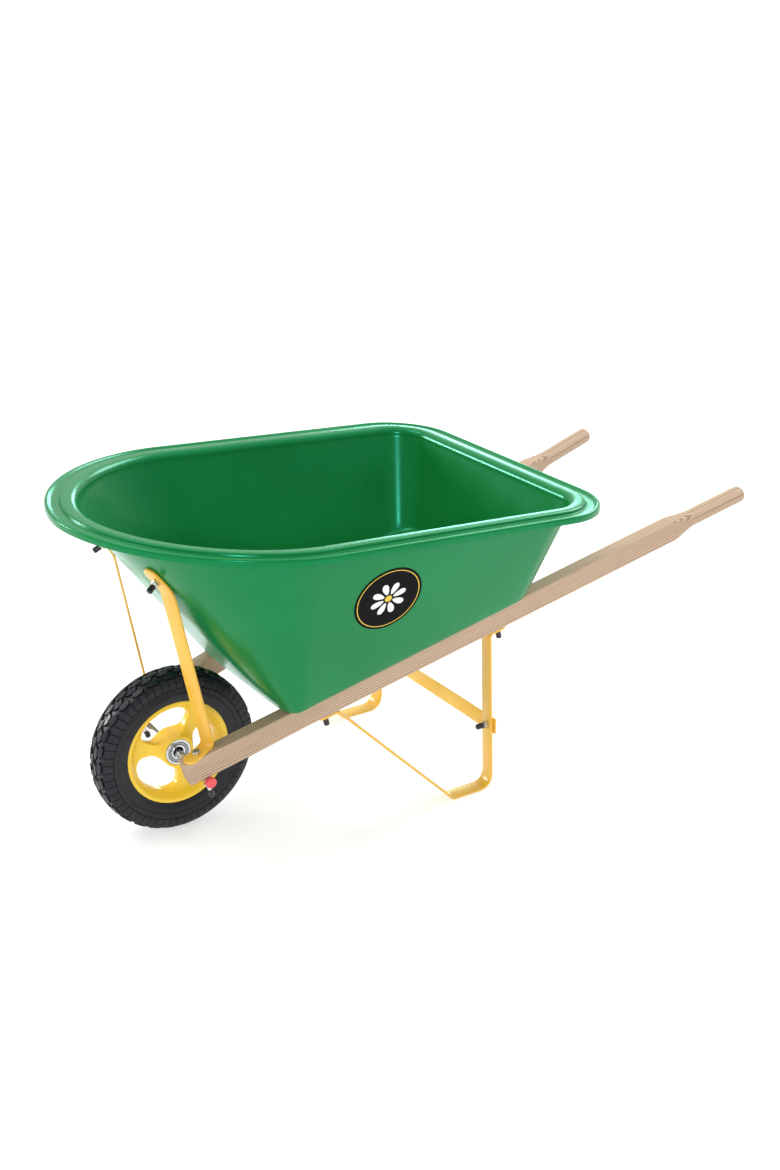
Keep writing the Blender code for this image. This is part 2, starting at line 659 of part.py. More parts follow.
def bolt_profile(length):
    """Domed head above z = 0 and a shank down to -length."""
    return [(0.0, HEAD_HEIGHT), (HEAD_RADIUS * 0.65, HEAD_HEIGHT * 0.78), (HEAD_RADIUS, 0.0),
            (BOLT_RADIUS, 0.0), (BOLT_RADIUS, -length), (0.0, -length)]


def cap_profile():
    """A closed sleeve over a bolt's end, its mouth at z = 0 and its closed end below."""
    inner, bottom = BOLT_RADIUS + GAP, -CAP_LENGTH + CAP_END
    return [(0.0, bottom), (inner, bottom), (inner, 0.0), (CAP_RADIUS, 0.0),
            (CAP_RADIUS, -CAP_LENGTH + 0.0010), (CAP_RADIUS - 0.0010, -CAP_LENGTH), (0.0, -CAP_LENGTH)]


def nut_mesh():
    """A hexagon nut with its bore, its top face at z = 0."""
    sides = 12
    corner = NUT_FLAT_RADIUS / cos(pi / 6)
    reach = [corner if i % 2 == 0 else NUT_FLAT_RADIUS for i in range(sides)]
    loops = (([HOLE_RADIUS] * sides, 0.0), (reach, 0.0), (reach, -NUT_HEIGHT),
             ([HOLE_RADIUS] * sides, -NUT_HEIGHT))
    mesh = bpy.data.meshes.new("hex_nut")
    bm = bmesh.new()
    rings = [[bm.verts.new((r * cos(2 * pi * i / sides), r * sin(2 * pi * i / sides), z))
              for i, r in enumerate(radii)] for radii, z in loops]
    for first, second in zip(rings, rings[1:] + rings[:1]):
        for i in range(sides):
            j = (i + 1) % sides
            bm.faces.new((first[i], first[j], second[j], second[i]))
    bmesh.ops.recalc_face_normals(bm, faces=bm.faces)
    bm.to_mesh(mesh)
    bm.free()
    return mesh


NUT_MESH = nut_mesh()


def build_fastener(stem, side_name, frame, head_height, nut_height, cap_height, pieces, nut_mat=ZINC):
    """Bolt, nut and vinyl cap on the local Z axis of frame, and their hole through the pieces.

    The head's underside is at head_height, the nut's top at nut_height, the cap's mouth at cap_height.
    """
    length = head_height - cap_height + CAP_LENGTH - CAP_END - GAP
    turned(stem + "_bolt_" + side_name, bolt_profile(length), ZINC, 12,
           frame @ Matrix.Translation((0, 0, head_height)))
    nut = bpy.data.objects.new(stem + "_nut_" + side_name, NUT_MESH.copy())
    nut.data.materials.append(nut_mat)
    parts.objects.link(nut)
    nut.matrix_world = frame @ Matrix.Translation((0, 0, nut_height))
    turned(stem + "_bolt_cap_" + side_name, cap_profile(), BLACK_VINYL, 12,
           frame @ Matrix.Translation((0, 0, cap_height)))
    drill(frame, cap_height, head_height + 0.01, HOLE_RADIUS, pieces, stem + "_hole_" + side_name)


# ---------------------------------------------------------------- assembly

def assemble():
    """Build every piece from the wheel's centre line, and bolt them together."""
    tray = build_tray()
    build_decals()
    build_wheel()
    axle = build_axle()
    cross_brace = build_cross_brace()
    for side_name, side in SIDES:
        handle = build_handle(side_name, side)
        brace = build_front_brace(side_name, side)
        leg = build_leg(side_name, side)

        on_strap = HANDLE_HEIGHT + STRAP_THICKNESS + 2 * GAP
        under_axle = -HANDLE_FRONT_DEPTH - 2 * (AXLE_RADIUS + GAP)
        build_fastener("axle", side_name, handle_frame(side, AXLE_BOLT_ALONG), on_strap, under_axle,
                       under_axle - AXLE_BOLT_STICKOUT, (brace, handle, axle))

        on_floor = HANDLE_HEIGHT + TRAY_WALL + FLOOR_SEAT
        under_leg = -(STRAP_THICKNESS + 2 * GAP)
        for stem, along in (("leg_front", LEG_FRONT_BOLT), ("leg_rear", LEG_REAR_BOLT)):
            build_fastener(stem, side_name, handle_frame(side, along), on_floor, under_leg,
                           under_leg - NUT_HEIGHT - GAP, (tray, handle, leg), BLACK_VINYL)

        wall, normal, _ = brace_tab(side)
        tab_frame = frame_from(wall, -normal)
        tab_top = -(TAB_CLEARANCE + STRAP_THICKNESS + GAP)
        build_fastener("brace", side_name, tab_frame, TRAY_WALL + 2 * GAP, tab_top,
                       tab_top - NUT_HEIGHT - 0.002, (tray, brace))

        rear_face = LEG_FOOT_REAR_Y + GAP * 4 + STRAP_THICKNESS
        cross_frame = frame_from(Vector((side * CROSS_BOLT_X, rear_face, CROSS_BRACE_Z)),
                                 Vector((0.0, 1.0, 0.0)))
        front_face = -(2 * STRAP_THICKNESS + 8 * GAP)
        build_fastener("cross_brace", side_name, cross_frame, GAP, front_face,
                       front_face - NUT_HEIGHT - 0.0015, (cross_brace, leg))


def centre_footprint():
    """Slide everything along Y so that the middle of the whole object's box lies over the origin."""
    depsgraph = bpy.context.evaluated_depsgraph_get()
    reach = []
    for obj in parts.objects:
        if obj.type == "MESH":
            shape = obj.evaluated_get(depsgraph)
            reach += [(shape.matrix_world @ Vector(corner)).y for corner in shape.bound_box]
    middle = (min(reach) + max(reach)) / 2
    for obj in list(parts.objects) + list(cutters.objects):
        if obj.parent is None:
            obj.matrix_world = Matrix.Translation((0.0, -middle, 0.0)) @ obj.matrix_world


assemble()
bpy.context.view_layer.update()
centre_footprint()
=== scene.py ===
"""Looks of the youth wheelbarrow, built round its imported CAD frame.

Metres, +Z up. The wheel is at -Y and the grips at +Y; the operator's left hand is at +X. Meshes are
laid out from the wheel's centre line, x = y = 0 and ground z = 0, and LINE slides them into the
frame. The tray, handles, straps, wheel, bearings, fasteners and labels are finer than the CAD
solids that they replace, with the same main sizes.
"""

from math import cos, pi, radians, sin, sqrt, tan

import bmesh
import bpy
from mathutils import Matrix, Vector


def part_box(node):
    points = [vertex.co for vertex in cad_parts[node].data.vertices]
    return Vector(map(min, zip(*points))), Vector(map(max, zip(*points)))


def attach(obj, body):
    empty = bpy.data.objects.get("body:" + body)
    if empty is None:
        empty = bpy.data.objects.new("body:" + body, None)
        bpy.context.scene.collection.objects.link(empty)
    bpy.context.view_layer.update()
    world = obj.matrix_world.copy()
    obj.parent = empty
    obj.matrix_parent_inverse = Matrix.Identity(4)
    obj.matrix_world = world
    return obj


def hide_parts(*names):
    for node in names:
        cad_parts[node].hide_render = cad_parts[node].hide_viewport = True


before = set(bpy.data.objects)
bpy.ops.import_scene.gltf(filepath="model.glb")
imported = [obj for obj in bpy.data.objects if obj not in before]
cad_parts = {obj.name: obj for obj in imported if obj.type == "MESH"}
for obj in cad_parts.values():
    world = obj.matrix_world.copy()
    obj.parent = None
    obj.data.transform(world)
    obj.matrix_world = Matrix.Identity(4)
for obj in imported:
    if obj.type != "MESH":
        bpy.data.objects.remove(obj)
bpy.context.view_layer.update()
WHEEL_CENTRE = (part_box("tyre")[0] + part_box("tyre")[1]) / 2
LINE = Matrix.Translation((0.0, WHEEL_CENTRE.y, 0.0))
SIDES = (("left", 1.0), ("right", -1.0))

# Camera, from the wheel's centre
CAMERA_OFFSET = Vector((1.9086, -0.8510, 1.1033))
CAMERA_AZIMUTH = radians(57.06)
CAMERA_ELEVATION = radians(22.21)
CAMERA_LENS = 48.081
FILM_WIDTH = 36.0

# Studio: a paper floor, a sky that is bright on one side, and soft lamps
FLOOR_REACH = 60.0
PAPER_SHADE = 0.60
PAPER_GLOW = 0.54
SKY_COLOUR = (0.97, 0.98, 1.0, 1.0)
BRIGHT_SIDE = (-0.22, 0.36, 0.91)   # direction of the sky's brightest part
SKY_DIM, SKY_BRIGHT = 0.34, 1.15
SKY_DIM_TO, SKY_BRIGHT_FROM = 0.10, 0.95    # cosines of the angle from the bright side
BACKDROP_STRENGTH = 1.05            # the sky as the camera sees it
WHITE = (1.0, 1.0, 1.0)
LAMPS = (                           # name, strength, spread, turn about X, Y and Z, colour
    ("overhead", 0.80, 30.0, (28.0, -20.0, 0.0), WHITE),
    ("rear_box", 1.40, 28.0, (-51.0, -23.0, 0.0), WHITE),
    ("front_box", 0.95, 9.0, (68.0, 0.0, 57.0), WHITE),
    ("left_strip", 1.30, 14.0, (35.5, -73.0, 0.0), WHITE),
    ("nose_strip", 0.34, 12.0, (-37.6, -80.0, 0.0), (0.40, 1.0, 0.82)),
)

# Wheel and axle
WHEEL_RADIUS = 0.127
RIM_RADIUS = 0.082
RIM_SEAT_RADIUS = RIM_RADIUS - 0.0017
AXLE_RADIUS = 0.00635
AXLE_HALF_LENGTH = 0.1260
AXLE_SAG = 0.00165
BEARING_RADIUS = 0.020
BEARING_FACE_X = 0.0196
BEARING_WIDTH = 0.012
BEARING_BORE = 0.0083
BEARING_SHOULDER = 0.0166
BEARING_COLLAR = 0.0113
AXLE_CAP_RADIUS = 0.0082
AXLE_CAP_START = 0.1225
WINDOW_COUNT = 3
WINDOW_ANGLE = radians(77.5)
WINDOW_MIDDLE = 0.0463
WINDOW_HALF_DEPTH = 0.0212
WINDOW_HALF_ANGLE = radians(46.0)
WINDOW_POWER = 0.72                 # below 1 squares the window's corners off
WINDOW_INNER_ROLL = 0.15            # share of the roll at the edge beside the hub
WINDOW_EDGE = (                     # distance from the web's middle, and how far the edge rolls back
    (0.0300, 0.0042), (0.0160, 0.0030), (0.0100, 0.0022), (0.0080, 0.0013), (0.0068, 0.0006),
    (0.0054, 0.0001), (0.0040, 0.0),
)

# Tyre tread, in the tyre's own section: across from its middle plane and round it
TREAD_DEPTH = 0.0030
TREAD_PITCHES = 30
SHOULDER_RIBS = 60

# Handles
HANDLE_LENGTH = 1.012
HANDLE_WIDTH = 0.0265
HANDLE_HEIGHT = 0.033
HANDLE_PITCH = radians(15.22)
HANDLE_SPLAY = radians(5.33)
HANDLE_X_AT_AXLE = 0.1084
HANDLE_OVER_HUB = 0.00665
AXLE_SETBACK = 0.0267
HANDLE_FRONT_DEPTH = 0.00159
HANDLE_DEEP_END = 0.100
AXLE_BOLT_ALONG = AXLE_SETBACK - AXLE_SAG * sin(HANDLE_PITCH)
HANDLE_EDGE = 0.0016                # radius of the bar's long edges
HANDLE_END_CHAMFER = 0.0008
GRIP_RADIUS = 0.0134
GRIP_CENTRE_HEIGHT = 0.0180
TAPER_START = 0.862
GRIP_START = 0.910

# Strap steel
STRAP_WIDTH = 0.0254
STRAP_THICKNESS = 0.0032

# Bolts
GAP = 0.0003
BOLT_RADIUS = 0.003175
HEAD_RADIUS = 0.0068
HEAD_HEIGHT = 0.0036
NUT_FLAT_RADIUS = 0.0055
NUT_HEIGHT = 0.0055
CAP_RADIUS = 0.0048
CAP_LENGTH = 0.0115
CAP_END = 0.0022                    # thickness of the cap's closed end
AXLE_BOLT_STICKOUT = 0.0150
BRACE_BOLT_STICKOUT = 0.0020
CROSS_BOLT_STICKOUT = 0.0015
BOLT_SEGMENTS = 48
FLOOR_SEAT = 0.0018

# Tray
RIM_HALF_WIDTH_X = 0.2850
RIM_REAR_Y = 0.6195
RIM_CORNER_RADIUS = 0.1037
RIM_NOSE_Y = 0.1253
RIM_NOSE_LENGTH = 0.2765
RIM_NOSE_POWER = 1.86
RIM_REAR_Z = 0.4692
RIM_SLOPE = -0.060
FLANGE_WIDTH = 0.047
WALL_TOP_DROP = 0.0110
FLANGE_SECTION = (                  # inset from the outer edge, height over the rim plane
    (0.0002, -0.0102), (0.0001, -0.0042), (0.0010, -0.0012), (0.0034, 0.0), (0.0060, -0.0008),
    (0.0086, -0.0026), (0.0120, -0.0034), (0.0195, -0.0034), (0.0212, -0.0030), (0.0220, -0.0012),
    (0.0232, 0.0004), (0.0262, 0.0014), (0.0330, 0.0016), (0.0390, 0.0008), (0.0435, -0.0022),
    (0.0462, -0.0066), (FLANGE_WIDTH, -WALL_TOP_DROP),
)
TRAY_WALL = 0.0032
TRAY_CLEARANCE = 0.0008             # over the tops of the handles
FLOOR_HALF_WIDTH_FRONT = 0.1480
FLOOR_HALF_WIDTH_REAR = 0.1760
FLOOR_REAR_Y = 0.5340
FLOOR_CORNER_RADIUS = 0.036
FLOOR_NOSE_Y = 0.1630
FLOOR_NOSE_LENGTH = 0.0410
FLOOR_NOSE_POWER = 6.5
FLOOR_FILLET = 0.006
REAR_STEPS, CORNER_STEPS, SIDE_STEPS, NOSE_STEPS = 8, 18, 16, 52
OUTLINE_SIDE_INDEX = REAR_STEPS + CORNER_STEPS
OUTLINE_NOSE_INDEX = OUTLINE_SIDE_INDEX + SIDE_STEPS
OUTLINE_MIDDLE_INDEX = OUTLINE_NOSE_INDEX + NOSE_STEPS

# Legs and braces
LEG_FRONT_BOLT = 0.2235
LEG_REAR_BOLT = 0.5290
LEG_BOLT_TO_END = 0.0145
LEG_BOLT_TO_BEND = 0.0185
LEG_FOOT_X = 0.1645
LEG_FOOT_FRONT_Y = 0.390
LEG_FOOT_REAR_Y = 0.4655
CROSS_BRACE_Z = 0.1045
CROSS_BRACE_GAP = 4 * GAP
CROSS_BRACE_HALF_LENGTH = 0.1750
CROSS_BOLT_X = 0.1600
BRACE_TURN = radians(25.0)
BRACE_LOWER_BEND = 0.0235
BRACE_HOLE_TO_END = 0.0240
BRACE_BOLT_XZ = (0.0860, 0.4365)
BRACE_BOLT_TO_BEND = 0.0210
BRACE_UPPER_RADIUS = 0.060
TAB_CLEARANCE = 0.0008

# Labels
DECAL_RADIUS = 0.055
DECAL_Y = 0.2480
DECAL_FRACTION = 0.585              # height on the wall, from floor to rim
PETAL_COUNT = 8
FILM_THICKNESS = 0.0003
FILM_LIFT, PRINT_LIFT, EYE_LIFT = 0.00035, 0.0006, 0.0007   # over the tray's outer face


# ---- stage, light and camera

def set_inputs(node, **values):
    """Give a node's inputs their values; a _ stands for a space in an input's name."""
    for socket, value in values.items():
        node.inputs[socket.replace("_", " ")].default_value = value


def new_node(tree, kind, **values):
    """A node of one kind in a tree, with values for its inputs."""
    node = tree.nodes.new("ShaderNode" + kind)
    set_inputs(node, **values)
    return node


def new_object(name, data):
    """An object in the scene for a mesh, a lamp or a camera."""
    item = bpy.data.objects.new(name, data)
    bpy.context.scene.collection.objects.link(item)
    return item


def build_floor():
    """A wide sheet of white paper that glows a little, as an overlit floor does."""
    sheet = bpy.data.meshes.new("studio_floor")
    corners = [(FLOOR_REACH * x, FLOOR_REACH * y, 0.0) for x, y in ((-1, -1), (1, -1), (1, 1), (-1, 1))]
    sheet.from_pydata(corners, [], [(0, 1, 2, 3)])
    paper = bpy.data.materials.new("white_paper")
    paper.use_nodes = True
    set_inputs(paper.node_tree.nodes["Principled BSDF"],
               Base_Color=(PAPER_SHADE, PAPER_SHADE, PAPER_SHADE, 1.0),
               Emission_Color=(*WHITE, 1.0), Emission_Strength=PAPER_GLOW,
               Roughness=0.9, Specular_IOR_Level=0.1)
    sheet.materials.append(paper)
    new_object("studio_floor", sheet)


def build_sky():
    """A world that brightens toward one side, and is an even white to the camera."""
    world = bpy.data.worlds.new("studio")
    bpy.context.scene.world = world
    world.use_nodes = True
    tree = world.node_tree
    background = tree.nodes["Background"]
    set_inputs(background, Color=SKY_COLOUR)
    place = new_node(tree, "TexCoord")
    toward = new_node(tree, "VectorMath")
    toward.operation = "DOT_PRODUCT"
    toward.inputs[1].default_value = BRIGHT_SIDE
    strength = new_node(tree, "MapRange", From_Min=SKY_DIM_TO, From_Max=SKY_BRIGHT_FROM,
                        To_Min=SKY_DIM, To_Max=SKY_BRIGHT)
    strength.interpolation_type = "SMOOTHSTEP"
    backdrop = new_node(tree, "Mix", B=BACKDROP_STRENGTH)
    ray = new_node(tree, "LightPath")
    for source, target in ((place.outputs["Generated"], toward.inputs[0]),
                           (toward.outputs["Value"], strength.inputs["Value"]),
                           (ray.outputs["Is Camera Ray"], backdrop.inputs["Factor"]),
                           (strength.outputs["Result"], backdrop.inputs["A"]),
                           (backdrop.outputs["Result"], background.inputs["Strength"])):
        tree.links.new(source, target)


def add_sun(name, strength, spread, turn, colour):
    """A sun lamp; its spread and its turn are in degrees."""
    lamp = bpy.data.lights.new(name, "SUN")
    lamp.color = colour
    lamp.energy = strength
    lamp.angle = radians(spread)
    new_object(name, lamp).rotation_euler = [radians(angle) for angle in turn]


def build_stage():
    build_floor()
    build_sky()
    for lamp in LAMPS:
        add_sun(*lamp)
    bpy.context.scene.view_settings.view_transform = "Standard"


def build_camera():
    lens = bpy.data.cameras.new("camera")
    lens.lens = CAMERA_LENS
    lens.sensor_width = FILM_WIDTH
    lens.sensor_fit = "AUTO"
    back = Vector((sin(CAMERA_AZIMUTH) * cos(CAMERA_ELEVATION),
                   -cos(CAMERA_AZIMUTH) * cos(CAMERA_ELEVATION), sin(CAMERA_ELEVATION)))
    right = Vector((cos(CAMERA_AZIMUTH), sin(CAMERA_AZIMUTH), 0.0))
    turn = Matrix((right, back.cross(right), back)).transposed().to_4x4()
    camera = new_object("camera", lens)
    camera.matrix_world = Matrix.Translation(WHEEL_CENTRE + CAMERA_OFFSET) @ turn
    bpy.context.scene.camera = camera


# ---- materials

class Shader:
    """A material's node tree with short calls for the few nodes used here."""

    def __init__(self, name, roughness, **sockets):
        self.material = bpy.data.materials.new(name)
        self.material.use_nodes = True
        self.tree = self.material.node_tree
        self.bsdf = self.tree.nodes["Principled BSDF"]
        set_inputs(self.bsdf, Roughness=roughness, **sockets)
        self.place = self.node("TexCoord").outputs["Object"]

    def node(self, kind, **values):
        return new_node(self.tree, kind, **values)

    def link(self, source, target):
        self.tree.links.new(source, target)

    def stretched(self, scale, shift=(0.0, 0.0, 0.0)):
        node = self.node("Mapping", Scale=scale, Location=shift)
        self.link(self.place, node.inputs["Vector"])
        return node.outputs["Vector"]

    def noise(self, scale, detail, roughness=0.55, place=None, distortion=0.0):
        node = self.node("TexNoise", Scale=scale, Detail=detail, Roughness=roughness, Distortion=distortion)
        self.link(place or self.place, node.inputs["Vector"])
        return node.outputs["Fac"]

    def ramp(self, source, *stops):
        """Colours along a value; each stop is a position and a colour."""
        node = self.node("ValToRGB")
        elements = node.color_ramp.elements
        while len(elements) < len(stops):
            elements.new(0.5)
        for element, (position, colour) in zip(elements, stops):
            element.position = position
            element.color = (*colour, 1.0)
        self.link(source, node.inputs["Fac"])
        return node.outputs["Color"]

    def mixed(self, mode, amount, first, second):
        node = self.node("Mix", Factor=amount)
        node.data_type = "RGBA"
        node.blend_type = mode
        self.link(first, node.inputs[6])
        self.link(second, node.inputs[7])
        return node.outputs[2]

    def colour(self, source):
        self.link(source, self.bsdf.inputs["Base Color"])

    def roughness(self, source, low, high):
        """Roughness from low to high over the middle of a noise's range."""
        node = self.node("MapRange", From_Min=0.3, From_Max=0.7, To_Min=low, To_Max=high)
        self.link(source, node.inputs["Value"])
        self.link(node.outputs["Result"], self.bsdf.inputs["Roughness"])

    def bump(self, source, strength, distance):
        """Relief from a value, added to the bump that is there already."""
        node = self.node("Bump", Strength=strength, Distance=distance)
        self.link(source, node.inputs["Height"])
        previous = self.bsdf.inputs["Normal"].links
        if previous:
            self.link(previous[0].from_socket, node.inputs["Normal"])
        self.link(node.outputs["Normal"], self.bsdf.inputs["Normal"])


def green_poly():
    """Moulded polyethylene: deep green, a soft gloss, faint flow marks and scuffs."""
    s = Shader("green_poly", 0.22, Sheen_Weight=0.12, Sheen_Roughness=0.30,
               Sheen_Tint=(0.06, 1.0, 0.72, 1.0), Specular_Tint=(0.12, 1.0, 0.78, 1.0),
               Specular_IOR_Level=0.55)
    cloud = s.noise(7.0, 3.0)
    body = s.ramp(cloud, (0.30, (0.0060, 0.168, 0.029)), (0.70, (0.0080, 0.192, 0.038)))
    scuffs = s.noise(1.0, 6.0, 0.7, s.stretched((60.0, 420.0, 260.0)), 0.6)
    worn = s.ramp(scuffs, (0.66, (0.0, 0.0, 0.0)), (0.88, (0.05, 0.15, 0.09)))
    s.colour(s.mixed("ADD", 0.30, body, worn))
    s.roughness(s.noise(26.0, 5.0), 0.19, 0.26)
    s.bump(s.noise(900.0, 2.0), 0.04, 0.0003)
    s.bump(s.noise(9.0, 2.0), 0.10, 0.002)
    return s.material


def ash_wood():
    """Sanded ash: growth rings seen as long lines, fine pores along the grain."""
    s = Shader("ash_wood", 0.55, Specular_IOR_Level=0.35)
    rings = s.node("TexWave", Scale=150.0, Distortion=2.2, Detail=3.0, Detail_Scale=0.10)
    rings.wave_type = "RINGS"
    rings.rings_direction = "Y"
    s.link(s.stretched((1.0, 0.06, 1.0), (0.055, 0.0, 0.030)), rings.inputs["Vector"])
    lines = s.ramp(rings.outputs["Fac"], (0.10, (0.66, 0.480, 0.340)), (0.55, (0.57, 0.400, 0.275)),
                   (0.95, (0.39, 0.262, 0.172)))
    tone = s.ramp(s.noise(1.0, 2.0, 0.5, s.stretched((22.0, 2.2, 22.0))),
                  (0.30, (0.80, 0.80, 0.80)), (0.72, (1.0, 1.0, 1.0)))
    pores = s.noise(1.0, 4.0, 0.6, s.stretched((1500.0, 26.0, 1500.0)))
    flecks = s.ramp(pores, (0.34, (0.78, 0.74, 0.70)), (0.50, (1.0, 1.0, 1.0)))
    s.colour(s.mixed("MULTIPLY", 0.75, s.mixed("MULTIPLY", 0.8, lines, tone), flecks))
    s.roughness(pores, 0.62, 0.48)
    s.bump(pores, 0.25, 0.0003)
    return s.material


def powder_coat():
    """Yellow powder coat on strap steel, with its fine orange peel."""
    s = Shader("yellow_paint", 0.32, Coat_Weight=0.25, Coat_Roughness=0.2)
    cloud = s.noise(18.0, 3.0)
    s.colour(s.ramp(cloud, (0.30, (0.82, 0.445, 0.036)), (0.70, (0.88, 0.505, 0.050))))
    s.roughness(s.noise(120.0, 3.0), 0.26, 0.38)
    s.bump(s.noise(620.0, 2.0), 0.12, 0.0004)
    return s.material


def wheel_plastic():
    """Yellow moulded plastic of the rim, glossy, with faint flow lines."""
    s = Shader("yellow_plastic", 0.3)
    cloud = s.noise(10.0, 2.0, 0.5)
    s.colour(s.ramp(cloud, (0.25, (0.92, 0.590, 0.036)), (0.75, (0.94, 0.625, 0.044))))
    s.roughness(s.noise(70.0, 3.0), 0.24, 0.30)
    s.bump(s.noise(420.0, 2.0), 0.04, 0.0004)
    return s.material


def tyre_rubber():
    """Black rubber with mould texture and a little dust."""
    s = Shader("tyre_rubber", 0.5, Specular_IOR_Level=0.34)
    dust = s.noise(60.0, 6.0, 0.65)
    s.colour(s.ramp(dust, (0.35, (0.0060, 0.0065, 0.0100)), (0.75, (0.016, 0.017, 0.022))))
    s.roughness(s.noise(140.0, 4.0), 0.30, 0.44)
    s.bump(s.noise(1100.0, 3.0), 0.20, 0.0004)
    return s.material


def plated_steel(name, colour, roughness):
    """Bright metal with the faint unevenness of plating."""
    s = Shader(name, roughness, Metallic=1.0)
    marks = s.noise(1.0, 3.0, 0.6, s.stretched((300.0, 300.0, 300.0)))
    dark = tuple(0.72 * c for c in colour)
    s.colour(s.ramp(marks, (0.30, dark), (0.70, colour)))
    s.roughness(marks, roughness * 0.75, roughness * 1.35)
    s.bump(marks, 0.08, 0.0002)
    return s.material


def moulded(name, dark, light, roughness, grain=700.0, strength=0.12, **sockets):
    """A small moulded or dipped piece: two close shades and a fine surface grain."""
    s = Shader(name, roughness, **sockets)
    s.colour(s.ramp(s.noise(90.0, 3.0), (0.30, dark), (0.70, light)))
    s.roughness(s.noise(200.0, 3.0), roughness * 0.85, roughness * 1.15)
    s.bump(s.noise(grain, 2.0), strength, 0.0003)
    return s.material


# ---- building blocks

def mesh_piece(name, mesh, mat, smooth_angle=35.0, matrix=Matrix()):
    """An object in the frame for a mesh laid out from the wheel's centre line."""
    mesh.materials.clear()
    mesh.materials.append(mat)
    mesh.shade_smooth()
    mesh.set_sharp_from_angle(angle=radians(smooth_angle))
    piece = new_object(name, mesh)
    piece.matrix_world = LINE @ matrix
    return piece


def join_rows(bm, rows, closed=True):
    """Faces between rows of vertices; a row that repeats one vertex is a point."""
    count = len(rows[0])
    for first, second in zip(rows, rows[1:]):
        for i in range(count if closed else count - 1):
            j = (i + 1) % count
            corners = dict.fromkeys((first[i], first[j], second[j], second[i]))
            bm.faces.new(list(corners))


def finished_mesh(name, bm, merge=False, outward=True):
    """The mesh of a bmesh, with coincident vertices merged and faces turned outward if asked."""
    if merge:
        bmesh.ops.remove_doubles(bm, verts=bm.verts, dist=1e-6)
    if outward:
        bmesh.ops.recalc_face_normals(bm, faces=bm.faces)
    mesh = bpy.data.meshes.new(name)
    bm.to_mesh(mesh)
    bm.free()
    return mesh


def around(count, shift=0.0):
    """Angles in equal steps round a circle."""
    return [2 * pi * (i + shift) / count for i in range(count)]


def grid_mesh(name, rings, closed=True, capped=False, merge=False):
    """Quads between successive rings of points, with optional end caps."""
    bm = bmesh.new()
    rows = [[bm.verts.new(point) for point in ring] for ring in rings]
    join_rows(bm, rows, closed)
    if capped:
        bm.faces.new(rows[0])
        bm.faces.new(rows[-1])
    return finished_mesh(name, bm, merge)


def turned_row(bm, height, radii):
    """Vertices round Z, one for each radius; where the radii are zero they share one vertex."""
    if radii[0] < 1e-6:
        return [bm.verts.new((0.0, 0.0, height))] * len(radii)
    return [bm.verts.new((radius * cos(a), radius * sin(a), height))
            for a, radius in zip(around(len(radii)), radii)]


def turned_mesh(name, profile, segments, closed=True):
    """A (radius, height) section turned about Z. An open section must start and end on the axis."""
    bm = bmesh.new()
    rows = [turned_row(bm, height, [radius] * segments) for radius, height in profile]
    join_rows(bm, rows + (rows[:1] if closed else []))
    return finished_mesh(name, bm)


def bend(start, corner, end, steps):
    """Points of a curve from start to end that leans toward a corner."""
    line = []
    for i in range(steps + 1):
        f = i / steps
        line.append(start.lerp(corner, f).lerp(corner.lerp(end, f), f))
    return line


def rounded_section(corners, radius, steps):
    """A polygon of 2-D points with every corner rounded to a radius, or less where it is tight."""
    points = []
    for i, corner in enumerate(corners):
        here, before = Vector(corner), Vector(corners[i - 1])
        after = Vector(corners[(i + 1) % len(corners)])
        into, out = here - before, after - here
        reach = min(radius, into.length * 0.45, out.length * 0.45)
        start, end = here - into.normalized() * reach, here + out.normalized() * reach
        points += bend(start, here, end, steps)
    return points


def smooth_line(points, steps):
    """A Catmull-Rom line through 2-D or 3-D points."""
    places = [Vector(point) for point in points]
    line = []
    for i in range(len(places) - 1):
        a, b, c, d = places[max(i - 1, 0)], places[i], places[i + 1], places[min(i + 2, len(places) - 1)]
        for k in range(steps):
            t = k / steps
            line.append(0.5 * (2 * b + (c - a) * t + (2 * a - 5 * b + 4 * c - d) * t * t
                               + (3 * b - a - 3 * c + d) * t ** 3))
    line.append(places[-1])
    return line


def thicken(piece, thickness, offset=0.0):
    """Give a skin its thickness, even across bends."""
    shell = piece.modifiers.new("wall", "SOLIDIFY")
    shell.thickness = thickness
    shell.offset = offset
    shell.use_even_offset = True


def ease_edges(piece, width, angle):
    """Bevel the edges that turn by more than an angle in degrees."""
    edge = piece.modifiers.new("edge", "BEVEL")
    edge.width = width
    edge.segments = 2
    edge.limit_method = "ANGLE"
    edge.angle_limit = radians(angle)


def baked(obj):
    """Replace an object's mesh by the result of its modifiers."""
    shape = obj.evaluated_get(bpy.context.evaluated_depsgraph_get())
    mesh = bpy.data.meshes.new_from_object(shape)
    obj.modifiers.clear()
    obj.data = mesh
    return obj


def dress(piece, body, slot, *nodes):
    """Hang a finished piece on its body, in place of its CAD nodes."""
    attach(piece, body)
    if nodes:
        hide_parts(*nodes)
    return piece


def frame_from(origin, z_axis, x_hint=Vector((1.0, 0.0, 0.0))):
    """A placement whose local Z runs along z_axis."""
    z = Vector(z_axis).normalized()
    y = z.cross(x_hint).normalized()
    x = y.cross(z)
    return Matrix.Translation(origin) @ Matrix((x, y, z)).transposed().to_4x4()


def handle_frame(side, along=0.0, height=0.0):
    """Placement on a handle: local Y runs to the grip, local Z is square to the top face."""
    rotation = Matrix.Rotation(-side * HANDLE_SPLAY, 4, "Z") @ Matrix.Rotation(HANDLE_PITCH, 4, "X")
    axle_on_handle = rotation @ Vector((0.0, AXLE_SETBACK, -HANDLE_OVER_HUB))
    front = Vector((side * HANDLE_X_AT_AXLE, 0.0, WHEEL_RADIUS)) - axle_on_handle
    return Matrix.Translation(front) @ rotation @ Matrix.Translation((0.0, along, height))


# ---- tray

